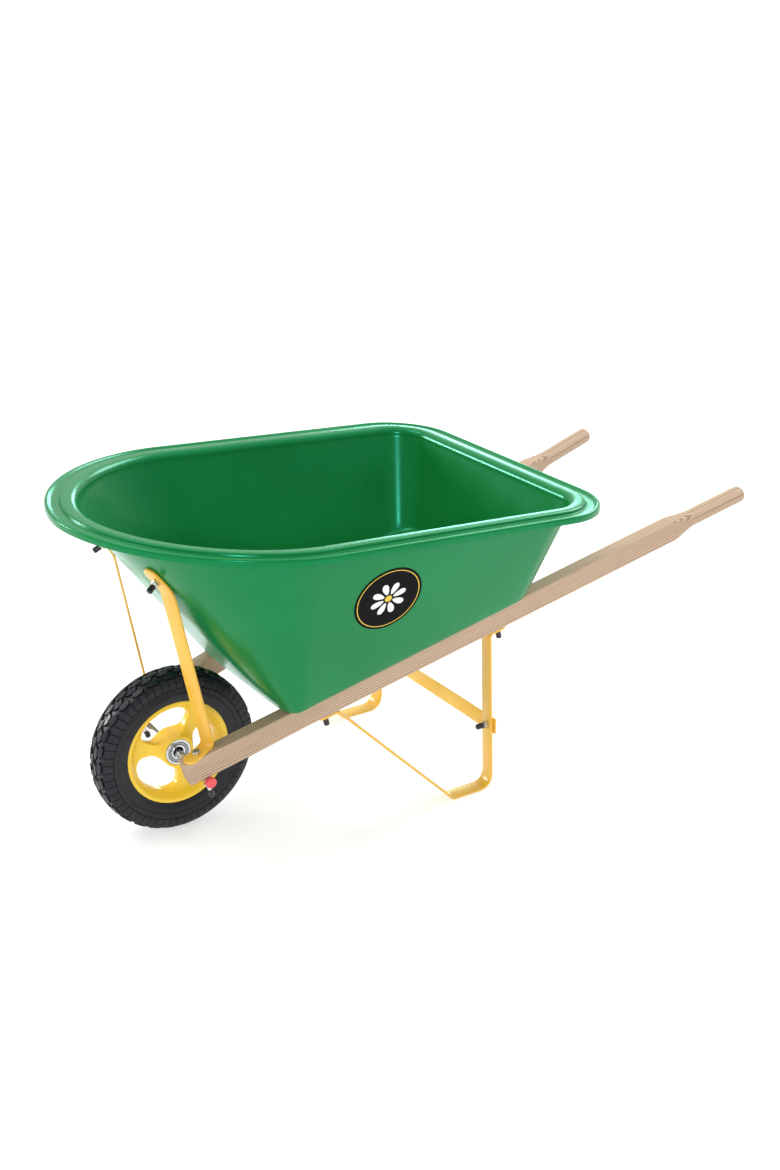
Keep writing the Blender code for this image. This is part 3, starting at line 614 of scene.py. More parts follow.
def superellipse_point(half_x, half_y, power, turn):
    """The point of a superellipse's first quadrant whose normal is turned by an angle from X."""
    x_part, y_part = half_x * cos(turn), half_y * sin(turn)
    total = x_part ** (power / (power - 1)) + y_part ** (power / (power - 1))
    scale = total ** (-1 / power)
    root = 1 / (power - 1)
    return half_x * x_part ** root * scale, half_y * y_part ** root * scale


def outline(half_front, half_rear, rear_y, corner, nose_y, nose_length, power):
    """Plan outline from the middle of the rear edge round the +X side to the nose, mirrored back.

    Points with the same index have the same normal in every outline.
    """
    points = [((half_rear - corner) * i / REAR_STEPS, rear_y) for i in range(REAR_STEPS)]
    for i in range(CORNER_STEPS + 1):
        a = (pi / 2) * i / CORNER_STEPS
        points.append((half_rear - corner + corner * sin(a), rear_y - corner + corner * cos(a)))
    for i in range(1, SIDE_STEPS):
        f = i / SIDE_STEPS
        points.append((half_rear + (half_front - half_rear) * f,
                       (rear_y - corner) * (1 - f) + nose_y * f))
    points.append((half_front, nose_y))
    for i in range(1, NOSE_STEPS):
        x, y = superellipse_point(half_front, nose_length, power, (pi / 2) * i / NOSE_STEPS)
        points.append((x, nose_y - y))
    points.append((0.0, nose_y - nose_length))
    return points + [(-x, y) for x, y in points[-2:0:-1]]


def rim_outline(inset):
    return outline(RIM_HALF_WIDTH_X - inset, RIM_HALF_WIDTH_X - inset, RIM_REAR_Y - inset,
                   RIM_CORNER_RADIUS - inset, RIM_NOSE_Y, RIM_NOSE_LENGTH - inset, RIM_NOSE_POWER)


def floor_outline(inset):
    return outline(FLOOR_HALF_WIDTH_FRONT - inset, FLOOR_HALF_WIDTH_REAR - inset,
                   FLOOR_REAR_Y - inset, FLOOR_CORNER_RADIUS - inset,
                   FLOOR_NOSE_Y, FLOOR_NOSE_LENGTH - inset, FLOOR_NOSE_POWER)


def rim_z(y):
    return RIM_REAR_Z + RIM_SLOPE * (y - RIM_REAR_Y)


def floor_z(y):
    """Height of the tray's inner floor, parallel to the tops of the handles."""
    top = handle_frame(1.0, 0.0, HANDLE_HEIGHT).translation
    slope = tan(HANDLE_PITCH) / cos(HANDLE_SPLAY)
    return top.z + slope * (y - top.y) + TRAY_CLEARANCE + TRAY_WALL / cos(HANDLE_PITCH)


def tray_rings():
    """Closed rings of the tray's inner skin, from the skirt over the flange and down to the floor."""
    rings = []
    for inset, height in smooth_line(FLANGE_SECTION, 3):
        rings.append([Vector((x, y, rim_z(y) + height)) for x, y in rim_outline(inset)])
    top = rings[-1]
    bottom = [Vector((x, y, floor_z(y))) for x, y in floor_outline(0.0)]
    for fraction in (0.02, 0.06, 0.14, 0.28, 0.44, 0.60, 0.76, 0.90):
        rings.append([t.lerp(b, fraction) for t, b in zip(top, bottom)])
    steps = 6
    for i in range(steps + 1):
        a = (pi / 2) * i / steps
        inner = [Vector((x, y, floor_z(y))) for x, y in floor_outline(FLOOR_FILLET * (1 - cos(a)))]
        lift = FLOOR_FILLET * (1 - sin(a))
        rings.append([p + (t - b).normalized() * lift for p, t, b in zip(inner, top, bottom)])
    return rings


def wall_point(index, fraction):
    """A point on the inner side wall: outline index, and height fraction from floor to rim."""
    rim = rim_outline(FLANGE_WIDTH)[index]
    floor = floor_outline(0.0)[index]
    top = Vector((rim[0], rim[1], rim_z(rim[1]) - WALL_TOP_DROP))
    return Vector((floor[0], floor[1], floor_z(floor[1]))).lerp(top, fraction)


def build_tray(mat):
    """The tub: one smooth skin given its wall, with the skirt's lower edge rounded."""
    bm = bmesh.new()
    rows = [[bm.verts.new(point) for point in ring] for ring in tray_rings()]
    join_rows(bm, rows)
    floor = bm.faces.new(rows[-1])
    bmesh.ops.recalc_face_normals(bm, faces=bm.faces)
    floor.normal_update()
    if floor.normal.z < 0:
        bmesh.ops.reverse_faces(bm, faces=bm.faces)
    tub = mesh_piece("tub", finished_mesh("tub", bm, outward=False), mat, 50.0)
    thicken(tub, TRAY_WALL, -1.0)
    ease_edges(tub, 0.0010, 60.0)
    return dress(baked(tub), "frame", "green_poly", "tray")


def front_wall(x, z):
    """Outer face of the tray's nose at one x and height: the point, its normal and the way up."""
    level = []
    for index in range(OUTLINE_NOSE_INDEX, OUTLINE_MIDDLE_INDEX + 1):
        low, high = wall_point(index, 0.0), wall_point(index, 1.0)
        level.append((low.lerp(high, (z - low.z) / (high.z - low.z)), (high - low).normalized()))
    for (first, rise), (second, _) in zip(level, level[1:]):
        if first.x >= x > second.x:
            point = first.lerp(second, (first.x - x) / (first.x - second.x))
            normal = (second - first).cross(rise).normalized()
            if normal.y > 0:
                normal.negate()
            return point + normal * TRAY_WALL, normal, rise


def mirrored(vector, side):
    return Vector((vector.x * side, vector.y, vector.z))


# ---- labels

def side_wall(y, fraction):
    """A point of the tray's inner side wall; the fraction is the height from floor to rim."""
    front, rear = wall_point(OUTLINE_NOSE_INDEX, fraction), wall_point(OUTLINE_SIDE_INDEX, fraction)
    return front.lerp(rear, (y - front.y) / (rear.y - front.y))


def label_frame():
    """The label's middle on the left wall, the way up the wall, and the outward normal."""
    middle = side_wall(DECAL_Y, DECAL_FRACTION)
    ahead = side_wall(DECAL_Y - 0.01, DECAL_FRACTION) - middle
    rise = side_wall(DECAL_Y, 1.0) - side_wall(DECAL_Y, 0.0)
    normal = ahead.cross(rise).normalized()
    if normal.x < 0:
        normal.negate()
    up_way = Vector((0.0, 1.0, 0.0)).cross(normal).normalized()
    return middle, up_way, normal


def on_wall(middle, up_way, along, up):
    """The point of the wall beside an offset from the label's middle."""
    target = middle + up_way * up
    y = DECAL_Y + along
    low, high = side_wall(y, 0.0), side_wall(y, 1.0)
    return side_wall(y, (target.z - low.z) / (high.z - low.z))


def wall_patch(name, side, loops, lift, mat):
    """A thin printed shape draped on the side wall; loops of (along, up) offsets, closed by quads."""
    middle, up_way, normal = label_frame()
    out = normal * (TRAY_WALL + lift)
    rings = [[mirrored(on_wall(middle, up_way, along, up) + out, side) for along, up in loop]
             for loop in loops]
    return mesh_piece(name, grid_mesh(name, rings), mat)


def circle_loop(radius, count=72):
    return [(radius * cos(a), radius * sin(a)) for a in around(count)]


def petal_loops(turn):
    """One petal of a plain daisy, as two loops from its middle line outward."""
    reach, half_length, half_width, flare = 0.0185, 0.0105, 0.0050, 0.35
    rim = []
    for a in around(24):
        outward = reach + half_length * cos(a)
        across = half_width * sin(a) * (1.0 + flare * cos(a))
        rim.append((outward * cos(turn) - across * sin(turn), outward * sin(turn) + across * cos(turn)))
    x0, y0 = reach * cos(turn), reach * sin(turn)
    return [[(x0 + 0.05 * (x - x0), y0 + 0.05 * (y - y0)) for x, y in rim], rim]


def build_labels(black, yellow, white):
    """Round vinyl labels with a thin ring and a plain daisy, one on each side of the tray."""
    for side_name, side in SIDES:
        discs = [circle_loop(r) for r in (0.0004, 0.014, 0.028, 0.042, DECAL_RADIUS - 0.0006, DECAL_RADIUS)]
        disc = wall_patch("label_" + side_name, side, discs, FILM_LIFT, black)
        film = disc.modifiers.new("film", "SOLIDIFY")
        film.thickness = FILM_THICKNESS
        film.offset = 0.0
        dress(baked(disc), "frame", "label_print", "decal_" + side_name)
        circles = [circle_loop(DECAL_RADIUS - inset) for inset in (0.0052, 0.0038)]
        ring = wall_patch("label_ring_" + side_name, side, circles, PRINT_LIFT, yellow)
        dots = [circle_loop(r, 32) for r in (0.0003, 0.0058)]
        eye = wall_patch("label_flower_eye_" + side_name, side, dots, EYE_LIFT, yellow)
        petals = [wall_patch("petal", side, petal_loops(turn), PRINT_LIFT, white)
                  for turn in around(PETAL_COUNT, 0.5)]
        flower = joined("label_flower_" + side_name, petals)
        for piece in (ring, eye, flower):
            dress(piece, "frame", "label_print")


def joined(name, pieces):
    """Several mesh objects with one material merged into the first, which gets the name."""
    bm = bmesh.new()
    for piece in pieces:
        bm.from_mesh(piece.data)
    first = pieces[0]
    bm.to_mesh(first.data)
    bm.free()
    for piece in pieces[1:]:
        bpy.data.objects.remove(piece)
    first.name = name
    return first


# ---- handles

def handle_sections():
    """Stations along a handle: distance, half width, half height, centre height, edge radius."""
    half_w, half_h = HANDLE_WIDTH / 2, HANDLE_HEIGHT / 2
    deeper = HANDLE_FRONT_DEPTH / 2
    edge = HANDLE_EDGE
    chamfer = HANDLE_END_CHAMFER
    sections = [(0.0, half_w - chamfer, half_h + deeper - chamfer, half_h - deeper, edge)]
    sections += [(along, half_w, half_h + deeper, half_h - deeper, edge)
                 for along in (chamfer, 0.03, HANDLE_DEEP_END)]
    sections += [(along, half_w, half_h, half_h, edge)
                 for along in (HANDLE_DEEP_END + 0.09, 0.45, 0.70, TAPER_START)]
    steps = 12
    for i in range(1, steps + 1):
        f = i / steps
        ease = f * f * (3 - 2 * f)
        sections.append((TAPER_START + (GRIP_START - TAPER_START) * f,
                         half_w + (GRIP_RADIUS - half_w) * ease,
                         half_h + (GRIP_RADIUS - half_h) * ease,
                         half_h + (GRIP_CENTRE_HEIGHT - half_h) * ease,
                         edge + (GRIP_RADIUS - edge) * ease ** 0.7))
    round_length = GRIP_RADIUS * 0.7
    round_start = HANDLE_LENGTH - round_length
    for i in range(9):
        a = (pi / 2) * i / 8.4
        radius = GRIP_RADIUS * cos(a) ** 0.8
        along = round_start + round_length * sin(a)
        sections.append((along, radius, radius, GRIP_CENTRE_HEIGHT, radius))
    return sections


def section_ring(distance, half_w, half_h, centre, edge, steps=8):
    """A rectangle with rounded corners, square to the handle."""
    radius = min(edge, half_w, half_h)
    ring = []
    for quarter, (sx, sz) in enumerate(((1, 1), (-1, 1), (-1, -1), (1, -1))):
        for i in range(steps + 1):
            a = (pi / 2) * (quarter + i / steps)
            ring.append((sx * (half_w - radius) + radius * cos(a), distance,
                         centre + sz * (half_h - radius) + radius * sin(a)))
    return ring


def build_handle(side_name, side, mat):
    rings = [section_ring(*section) for section in handle_sections()]
    mesh = grid_mesh("handle_bar", rings, capped=True, merge=True)
    bar = mesh_piece("handle_bar_" + side_name, mesh, mat, matrix=handle_frame(side))
    return dress(bar, "frame", "ash_wood", "handle_" + side_name)


# ---- strap steel

def rounded_path(corners, radii, steps=12):
    """Points along straight runs between corners, with each inner corner rounded to its radius."""
    points = [corners[0]]
    for before, corner, after, radius in zip(corners, corners[1:], corners[2:], radii):
        into, out = (corner - before).normalized(), (after - corner).normalized()
        reach = radius * tan(into.angle(out) / 2)
        points += bend(corner - into * reach, corner, corner + out * reach, steps)
    points.append(corners[-1])
    return points


def build_strap(name, points, widths, mat, node, round_ends=False):
    """A flat strap along points, as wide as STRAP_WIDTH along widths, with its long edges eased."""
    half = STRAP_WIDTH / 2
    stations = [(point, Vector(width), half) for point, width in zip(points, widths)]
    turns = [(pi / 2) * i / 12 for i in range(12)]

    def end_stations(tip, inner, width):
        direction = (tip - inner).normalized()
        centre = tip - direction * half
        return [(centre + direction * half * sin(a), width, half * cos(a)) for a in turns] \
            + [(tip - direction * half * 0.0006, width, half * 0.035)]

    if round_ends:
        last = end_stations(points[-1], points[-2], Vector(widths[-1]))
        first = end_stations(points[0], points[1], Vector(widths[0]))
        stations = first[::-1] + stations[1:-1] + last
    rows = []
    for centre, width, reach in stations:
        w = width.normalized() * reach
        rows.append((centre - w, centre + w))
    strap = mesh_piece(name, grid_mesh(name, rows, closed=False), mat, 30.0)
    thicken(strap, STRAP_THICKNESS)
    ease_edges(strap, 0.0006, 50.0)
    return dress(baked(strap), "frame", "yellow_paint", node)


def build_leg(side_name, side, mat):
    """One bent strap: front flange, diagonal, flat foot, upright and rear flange."""
    under = -(GAP + STRAP_THICKNESS / 2)
    flange = [handle_frame(side, along, under).translation
              for along in (LEG_FRONT_BOLT - LEG_BOLT_TO_END, LEG_FRONT_BOLT + LEG_BOLT_TO_BEND,
                            LEG_REAR_BOLT - LEG_BOLT_TO_BEND, LEG_REAR_BOLT + LEG_BOLT_TO_END)]
    sole = STRAP_THICKNESS / 2
    foot = [Vector((side * LEG_FOOT_X, LEG_FOOT_FRONT_Y, sole)),
            Vector((side * LEG_FOOT_X, LEG_FOOT_REAR_Y - sole, sole))]
    corners = [flange[0], flange[1], foot[0], foot[1], flange[2], flange[3]]
    points = rounded_path(corners, (0.008, 0.010, 0.024, 0.007))
    across = (cos(HANDLE_SPLAY), -side * sin(HANDLE_SPLAY), 0.0)
    widths = [across] * len(points)
    return build_strap("leg_strap_" + side_name, points, widths, mat, "leg_" + side_name, True)


def brace_tab(side):
    """Upper brace bolt on the tray: the point on the wall's outer face, the normal and the way up."""
    return [mirrored(vector, side) for vector in front_wall(*BRACE_BOLT_XZ)]


def build_front_brace(side_name, side, mat):
    """Strap from a flat foot on the handle up to a tab that lies on the tray's nose."""
    top = HANDLE_HEIGHT + GAP + STRAP_THICKNESS / 2
    foot = handle_frame(side, AXLE_SETBACK, top) @ Matrix.Rotation(side * BRACE_TURN, 4, "Z")
    toe = foot @ Vector((0.0, -BRACE_HOLE_TO_END, 0.0))
    lower = foot @ Vector((0.0, BRACE_LOWER_BEND, 0.0))
    wall, normal, up_wall = brace_tab(side)
    bolt = wall + normal * (TAB_CLEARANCE + STRAP_THICKNESS / 2)
    upper = bolt - up_wall * BRACE_BOLT_TO_BEND
    tab_end = bolt + up_wall * BRACE_HOLE_TO_END
    rise = (upper - lower).normalized()
    foot_width = (foot.to_3x3() @ Vector((1.0, 0.0, 0.0))).normalized()
    tab_width = up_wall.cross(normal).normalized()
    if tab_width.dot(foot_width) < 0:
        tab_width.negate()
    rise_width = (foot_width - rise * foot_width.dot(rise)).normalized()
    steps = 14
    points = rounded_path((toe, lower, upper, tab_end), (0.008, BRACE_UPPER_RADIUS), steps)
    lower_turn = [foot_width.lerp(rise_width, i / steps) for i in range(steps + 1)]
    upper_turn = [rise_width.lerp(tab_width, i / steps) for i in range(steps + 1)]
    widths = [foot_width] + lower_turn + upper_turn + [tab_width]
    return build_strap("brace_strap_" + side_name, points, widths, mat, "front_brace_" + side_name, True)


def build_cross_brace(mat):
    y = LEG_FOOT_REAR_Y + CROSS_BRACE_GAP + STRAP_THICKNESS / 2
    ends = [Vector((x, y, CROSS_BRACE_Z)) for x in (-CROSS_BRACE_HALF_LENGTH, CROSS_BRACE_HALF_LENGTH)]
    return build_strap("cross_strap", ends, [Vector((0.0, 0.0, 1.0))] * 2, mat, "leg_cross_brace")


# ---- wheel

AXLE_LINE = Matrix.Translation((0.0, 0.0, WHEEL_RADIUS)) @ Matrix.Rotation(pi / 2, 4, "Y")

# Outer face of the tyre as (distance from the middle plane, radius), from crown to bead
TYRE_FACE = ((0.0, 0.1270), (0.0060, 0.1269), (0.0120, 0.1262), (0.0180, 0.1245), (0.0222, 0.1218),
             (0.0246, 0.1180), (0.0257, 0.1130), (0.0260, 0.1080), (0.0259, 0.1020), (0.0254, 0.0960),
             (0.0242, 0.0900), (0.0224, 0.0850), (0.0215, 0.0823))


def tyre_face_line(steps=6):
    """The face as evenly usable points with their outward normals and running length."""
    line = smooth_line(TYRE_FACE, steps)
    normals = []
    for i, point in enumerate(line):
        tangent = line[min(i + 1, len(line) - 1)] - line[max(i - 1, 0)]
        normals.append(Vector((-tangent.y, tangent.x)).normalized())
    lengths = [0.0]
    for first, second in zip(line, line[1:]):
        lengths.append(lengths[-1] + (second - first).length)
    return line, normals, lengths


FACE_LINE, FACE_NORMALS, FACE_LENGTHS = tyre_face_line()


def on_tyre(across, angle, depth=0.0):
    """A point of the tyre at a distance along its face from the crown, sunk by a depth."""
    side = -1.0 if across < 0 else 1.0
    length = min(abs(across), FACE_LENGTHS[-1] - 1e-6)
    i = max(k for k, value in enumerate(FACE_LENGTHS[:-1]) if value <= length)
    f = (length - FACE_LENGTHS[i]) / (FACE_LENGTHS[i + 1] - FACE_LENGTHS[i])
    place = FACE_LINE[i].lerp(FACE_LINE[i + 1], f)
    normal = FACE_NORMALS[i].lerp(FACE_NORMALS[i + 1], f)
    x, radius = place.x + normal.x * -depth, place.y + normal.y * -depth
    return Vector((radius * cos(angle), radius * sin(angle), side * x))


def tyre_body():
    """The tyre under its blocks: groove floor over the crown, and the bare side walls."""
    shoulder_end = 0.0405
    half = []
    for length in [0.0, 0.004, 0.008, 0.012, 0.016, 0.020, 0.0235, 0.027, 0.0305, 0.034, 0.037]:
        half.append((length, TREAD_DEPTH if length < 0.026 else TREAD_DEPTH * 0.55))
    half += [(shoulder_end - 0.0008, 0.0012), (shoulder_end, 0.0), (0.0440, 0.0), (0.0480, 0.0001),
             (0.0486, 0.0006), (0.0492, 0.0001), (0.0530, 0.0), (0.0570, 0.0), (0.0610, 0.0),
             (FACE_LENGTHS[-1], 0.0)]
    face = [on_tyre(length, 0.0, depth) for length, depth in half]
    seat = RIM_SEAT_RADIUS + GAP
    section = [(point.x, point.z) for point in face]
    section += [(RIM_RADIUS + GAP, 0.0180), (seat, 0.0180)]
    other = [(radius, -height) for radius, height in section[1:]]
    return turned_mesh("tyre_body", section[::-1] + other, 144)


def tread_block(bm, outline_points, height=TREAD_DEPTH, sink=0.0006, ease=0.0006):
    """One raised block: a polygon of (across, angle) with sloping sides and an eased top edge."""
    middle_s = sum(point[0] for point in outline_points) / len(outline_points)
    middle_a = sum(point[1] for point in outline_points) / len(outline_points)

    def loop(grow, depth):
        ring = []
        for s, a in outline_points:
            ds, da = s - middle_s, (a - middle_a) * WHEEL_RADIUS
            reach = sqrt(ds * ds + da * da)
            k = (reach + grow) / reach
            ring.append(bm.verts.new(on_tyre(middle_s + ds * k, middle_a + da * k / WHEEL_RADIUS, depth)))
        return ring

    rings = [loop(0.0007, height + sink), loop(0.0, ease), loop(-ease, 0.0)]
    centre = bm.verts.new(on_tyre(middle_s, middle_a, 0.0))
    join_rows(bm, rings + [[centre] * len(outline_points)])


def subdivided(points, pieces=2):
    """The same polygon with extra points on each side, so that it can follow a curved face."""
    result = []
    for (s0, a0), (s1, a1) in zip(points, points[1:] + points[:1]):
        for k in range(pieces):
            f = k / pieces
            result.append((s0 + (s1 - s0) * f, a0 + (a1 - a0) * f))
    return result


def tread_mesh():
    """Knobs of the tread: arrow blocks over the crown and ribs down both shoulders."""
    bm = bmesh.new()
    pitch = 2 * pi / TREAD_PITCHES
    for i in range(TREAD_PITCHES):
        base = i * pitch
        for side in (1.0, -1.0):
            start = base if side > 0 else base + pitch / 2
            # centre block, leaning forward
            centre = [(0.0010, 0.06), (0.0088, 0.20), (0.0094, 0.62), (0.0045, 0.86), (0.0008, 0.56)]
            # outer block, leaning back
            outer = [(0.0112, 0.04), (0.0158, -0.12), (0.0206, 0.02), (0.0202, 0.44), (0.0160, 0.66),
                     (0.0108, 0.46)]
            for shape in (centre, outer):
                tread_block(bm, subdivided([(side * s, start + f * pitch) for s, f in shape]))
    rib = 2 * pi / SHOULDER_RIBS
    for i in range(SHOULDER_RIBS):
        near = [(0.0226 if i % 2 else 0.0236, 0.035), (0.0300, 0.025), (0.0350, 0.025), (0.0396, 0.03)]
        far = [(s, 1 - f) for s, f in reversed(near)]
        for side in (1.0, -1.0):
            tread_block(bm, [(side * s, (i + f) * rib) for s, f in near + far],
                        TREAD_DEPTH * 0.7, 0.0004, 0.0004)
    return finished_mesh("tyre_tread", bm)


def build_tyre(mat):
    body = mesh_piece("tyre_casing", tyre_body(), mat, 40.0, AXLE_LINE)
    dress(body, "wheel", "tyre_rubber", "tyre")
    tread = mesh_piece("tyre_tread", tread_mesh(), mat, 25.0, AXLE_LINE)
    dress(tread, "wheel", "tyre_rubber")


def rim_section():
    """Closed section of the dished rim: flanges, channel, web and hub, with rounded corners."""
    half = [(RIM_SEAT_RADIUS, 0.0184), (RIM_RADIUS, 0.0187), (RIM_RADIUS, 0.0210), (0.0772, 0.0210),
            (0.0745, 0.0190), (0.0715, 0.0150), (0.0680, 0.0105), (0.0600, 0.0078), (0.0440, 0.0072),
            (0.0340, 0.0105), (0.0275, 0.0158), (0.0240, 0.0198), (BEARING_RADIUS + GAP, 0.0198)]
    corners = half[::-1] + [(radius, -across) for radius, across in half]
    return rounded_section(corners, 0.0035, 5)


def squared_off(value):
    """Push a point of the unit circle outward, one coordinate at a time, towards a square."""
    return abs(value) ** WINDOW_POWER * (1.0 if value > 0 else -1.0)


def window_cutter(number):
    """A solid that cuts one window and rolls its edges over at both faces of the web."""
    angle = WINDOW_ANGLE + 2 * pi * number / WINDOW_COUNT
    levels = [(-height, grow) for height, grow in WINDOW_EDGE]
    levels += [(height, grow) for height, grow in reversed(WINDOW_EDGE)]
    rings = []
    for height, grow in levels:
        ring = []
        for a in around(64, 0.5):
            sideways, outward = squared_off(cos(a)), squared_off(sin(a))
            roll = grow * (1.0 if outward > 0 else WINDOW_INNER_ROLL)
            r = WINDOW_MIDDLE + (WINDOW_HALF_DEPTH + roll) * outward
            spread = -(WINDOW_HALF_ANGLE + grow / WINDOW_MIDDLE) * sideways
            ring.append((r * cos(angle + spread), r * sin(angle + spread), height))
        rings.append(ring)
    cutter = new_object("window_cutter", grid_mesh("window_cutter", rings, capped=True))
    cutter.matrix_world = LINE @ AXLE_LINE
    return cutter


def build_rim(mat):
    rim = mesh_piece("rim", turned_mesh("rim", rim_section(), 144), mat, 40.0, AXLE_LINE)
    cutters = [window_cutter(i) for i in range(WINDOW_COUNT)]
    for cutter in cutters:
        cut = rim.modifiers.new("window", "BOOLEAN")
        cut.operation = "DIFFERENCE"
        cut.object = cutter
    baked(rim)
    for cutter in cutters:
        bpy.data.objects.remove(cutter)
    rim.data.materials.clear()
    rim.data.materials.append(mat)
    rim.data.set_sharp_from_angle(angle=radians(32.0))
    return dress(rim, "wheel", "yellow_plastic", "wheel_rim")


def ring_section(inner, outer, low, high, ease):
    return rounded_section([(outer, high), (outer, low), (inner, low), (inner, high)], ease, 3)


def build_bearings(steel, shield):
    """Outer race, dished shield and inner race at each face of the hub."""
    for side_name, side in SIDES:
        low, high = sorted((side * (BEARING_FACE_X - BEARING_WIDTH), side * BEARING_FACE_X))
        races = (("race_outer_", "bearing_outer_", BEARING_SHOULDER, BEARING_RADIUS, 0.0, 0.0007, steel,
                  "bearing_steel", "wheel"),
                 ("shield_", "bearing_seal_", BEARING_COLLAR + GAP, BEARING_SHOULDER - GAP, 0.0007, 0.0009,
                  shield, "black_seal", "wheel"),
                 ("race_inner_", "bearing_inner_", BEARING_BORE, BEARING_COLLAR, 0.0, 0.0007, steel,
                  "bearing_steel", "frame"))
        for stem, node, inside, outside, recess, ease, mat, slot, body in races:
            section = ring_section(inside, outside, low + recess, high - recess, ease)
            piece = mesh_piece(stem + side_name, turned_mesh(stem, section, 64), mat, 30.0, AXLE_LINE)
            dress(piece, body, slot, node + side_name)


def build_axle(zinc, red):
    """The rod and the plastic cups over its ends."""
    centre = Matrix.Translation((0.0, 0.0, WHEEL_RADIUS - AXLE_SAG))
    half, chamfer = AXLE_HALF_LENGTH, 0.0007
    rod = [(0.0, half), (AXLE_RADIUS - chamfer, half), (AXLE_RADIUS, half - chamfer),
           (AXLE_RADIUS, -half + chamfer), (AXLE_RADIUS - chamfer, -half), (0.0, -half)]
    axle = mesh_piece("axle_rod", turned_mesh("axle_rod", rod, 40, closed=False), zinc, 30.0,
                      centre @ Matrix.Rotation(pi / 2, 4, "Y"))
    dress(axle, "frame", "zinc_plate", "axle")
    inner, outer, end, ease = AXLE_RADIUS + GAP, AXLE_CAP_RADIUS, half + 0.0025, 0.0022
    corner = Vector((outer, end))
    cup = [(0.0, end), *bend(corner - Vector((ease, 0.0)), corner, corner - Vector((0.0, ease)), 6),
           (outer, AXLE_CAP_START), (inner, AXLE_CAP_START), (inner, half + GAP), (0.0, half + GAP)]
    for side_name, side in SIDES:
        cap = mesh_piece("axle_cup_" + side_name, turned_mesh("axle_cup", cup, 40, closed=False), red, 40.0,
                         centre @ Matrix.Rotation(side * pi / 2, 4, "Y"))
        dress(cap, "frame", "red_plastic", "axle_cap_" + side_name)


# ---- fasteners

def hexagon_radii(flat):
    """Radii round a hexagon that is flat from its middle to each side."""
    return [flat / cos(a % (pi / 3) - pi / 6) for a in around(BOLT_SEGMENTS)]


def bolt_mesh(length):
    """Hexagon head with a washer face above z = 0 and a shank down to -length."""
    flat = HEAD_RADIUS * cos(pi / 6)
    washer, tip = 0.0007, 0.0005
    hexagon = hexagon_radii(flat)
    head = ((0.0, BOLT_RADIUS), (0.0, flat), (washer, flat), (washer, hexagon),
            (HEAD_HEIGHT - 0.0006, hexagon), (HEAD_HEIGHT, flat * 0.93), (HEAD_HEIGHT, 0.0))
    shank = ((0.0, BOLT_RADIUS), (tip - length, BOLT_RADIUS), (-length, BOLT_RADIUS - tip), (-length, 0.0))
    bm = bmesh.new()
    for profile in (head, shank):
        join_rows(bm, [turned_row(bm, height, radius if radius is hexagon else [radius] * BOLT_SEGMENTS)
                       for height, radius in profile])
    return finished_mesh("bolt", bm, merge=True)


def nut_mesh():
    """A hexagon nut with chamfered corners and its bore, its top face at z = 0."""
    flat, chamfer = NUT_FLAT_RADIUS, 0.0006
    bore, face = [BOLT_RADIUS + GAP] * BOLT_SEGMENTS, [flat * 0.97] * BOLT_SEGMENTS
    hexagon = hexagon_radii(flat)
    bm = bmesh.new()
    profile = ((0.0, bore), (0.0, face), (-chamfer, hexagon), (chamfer - NUT_HEIGHT, hexagon),
               (-NUT_HEIGHT, face), (-NUT_HEIGHT, bore))
    rows = [turned_row(bm, height, radii) for height, radii in profile]
    join_rows(bm, rows + rows[:1])
    return finished_mesh("nut", bm)


def cap_mesh():
    """A dipped vinyl sleeve over a bolt's end, its mouth at z = 0, with a rolled lip and round end."""
    inner, bottom, barrel, ease = BOLT_RADIUS + GAP, CAP_END - CAP_LENGTH, CAP_RADIUS - 0.0004, 0.0018
    outer = [(0.0, bottom), (inner, bottom), (inner, -0.0003), (inner + 0.0004, 0.0),
             (CAP_RADIUS - 0.0003, 0.0), (CAP_RADIUS, -0.0004), (CAP_RADIUS, -0.0014),
             (barrel, -0.0019)]
    for i in range(7):
        a = (pi / 2) * i / 6
        outer.append((barrel - ease + ease * cos(a), -CAP_LENGTH + ease - ease * sin(a)))
    return turned_mesh("bolt_cap", outer + [(0.0, -CAP_LENGTH)], 32, closed=False)


def build_fastener(stem, side_name, place, heights, mats):
    """Bolt, nut and vinyl cap along the local Z axis of place.

    heights are those of the head's underside, the nut's top and the cap's mouth.
    """
    head, nut, cap = heights
    zinc, nut_mat, vinyl = mats
    length = head - cap + CAP_LENGTH - CAP_END - GAP
    made = (("_bolt_", bolt_mesh(length), zinc, head, "zinc_plate"),
            ("_nut_", nut_mesh(), nut_mat, nut, "zinc_plate" if nut_mat is zinc else "black_steel"),
            ("_bolt_cap_", cap_mesh(), vinyl, cap, "black_vinyl"))
    for kind, mesh, mat, height, slot in made:
        piece = mesh_piece(stem + kind + side_name + "_fine", mesh, mat, 30.0,
                           place @ Matrix.Translation((0.0, 0.0, height)))
        dress(piece, "frame", slot, stem + kind + side_name)


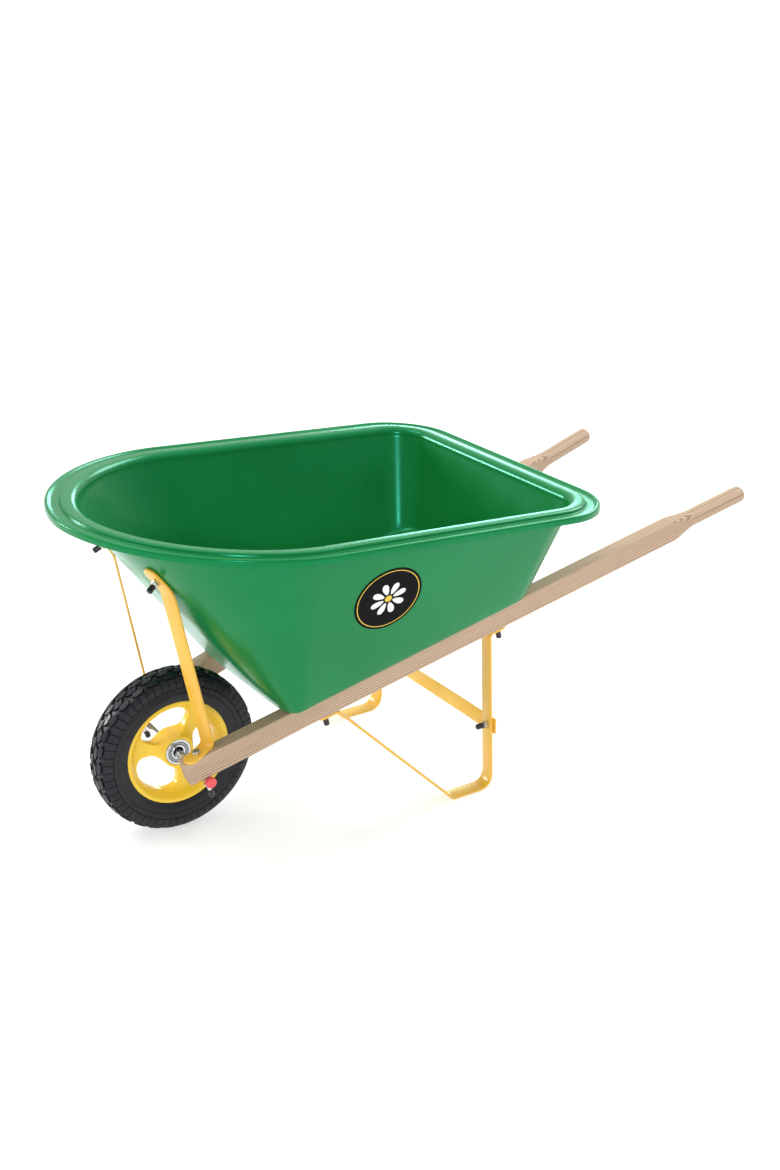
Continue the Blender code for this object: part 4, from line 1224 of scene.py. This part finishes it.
def build_fasteners(side_name, side, zinc, black, vinyl):
    on_strap = HANDLE_HEIGHT + STRAP_THICKNESS + 2 * GAP
    under_axle = -HANDLE_FRONT_DEPTH - 2 * (AXLE_RADIUS + GAP)
    build_fastener("axle", side_name, handle_frame(side, AXLE_BOLT_ALONG),
                   (on_strap, under_axle, under_axle - AXLE_BOLT_STICKOUT), (zinc, zinc, vinyl))

    on_floor = HANDLE_HEIGHT + TRAY_WALL + FLOOR_SEAT
    under_leg = -(STRAP_THICKNESS + 2 * GAP)
    for stem, along in (("leg_front", LEG_FRONT_BOLT), ("leg_rear", LEG_REAR_BOLT)):
        build_fastener(stem, side_name, handle_frame(side, along),
                       (on_floor, under_leg, under_leg - NUT_HEIGHT - GAP), (zinc, black, vinyl))

    wall, normal, _ = brace_tab(side)
    tab_top = -(TAB_CLEARANCE + STRAP_THICKNESS + GAP)
    build_fastener("brace", side_name, frame_from(wall, -normal),
                   (TRAY_WALL + 2 * GAP, tab_top, tab_top - NUT_HEIGHT - BRACE_BOLT_STICKOUT),
                   (zinc, zinc, vinyl))

    rear_face = LEG_FOOT_REAR_Y + CROSS_BRACE_GAP + STRAP_THICKNESS
    cross_bolt = Vector((side * CROSS_BOLT_X, rear_face, CROSS_BRACE_Z))
    cross_frame = frame_from(cross_bolt, Vector((0.0, 1.0, 0.0)))
    front_face = -2 * (STRAP_THICKNESS + CROSS_BRACE_GAP)
    build_fastener("cross_brace", side_name, cross_frame,
                   (GAP, front_face, front_face - NUT_HEIGHT - CROSS_BOLT_STICKOUT), (zinc, zinc, vinyl))


# ---- assembly

def main():
    build_camera()
    build_stage()
    coat = powder_coat()
    wood = ash_wood()
    zinc = plated_steel("zinc_plate", (0.80, 0.81, 0.80), 0.30)
    steel = plated_steel("bearing_steel", (0.86, 0.87, 0.89), 0.16)
    shield = plated_steel("bearing_shield", (0.34, 0.35, 0.37), 0.30)
    vinyl = moulded("black_vinyl", (0.010, 0.011, 0.015), (0.018, 0.019, 0.024), 0.38)
    # nuts of the leg bolts, made dark
    black = moulded("dark_leg_nut", (0.016, 0.016, 0.018), (0.028, 0.028, 0.031), 0.45, Metallic=0.4)
    red = moulded("red_plastic", (0.78, 0.058, 0.070), (0.86, 0.085, 0.095), 0.34, Coat_Weight=0.3)
    ink = moulded("label_black", (0.0015, 0.0015, 0.0015), (0.003, 0.003, 0.003), 0.42, 1500.0, 0.03,
                  Specular_IOR_Level=0.06)
    yellow_ink = moulded("label_yellow", (0.74, 0.50, 0.03), (0.82, 0.57, 0.05), 0.35, 1500.0, 0.05)
    white_ink = moulded("label_white", (0.80, 0.80, 0.78), (0.88, 0.88, 0.86), 0.35, 1500.0, 0.05)

    build_tray(green_poly())
    build_labels(ink, yellow_ink, white_ink)
    build_tyre(tyre_rubber())
    build_rim(wheel_plastic())
    build_bearings(steel, shield)
    build_axle(zinc, red)
    build_cross_brace(coat)
    for side_name, side in SIDES:
        build_handle(side_name, side, wood)
        build_leg(side_name, side, coat)
        build_front_brace(side_name, side, coat)
        build_fasteners(side_name, side, zinc, black, vinyl)


main()
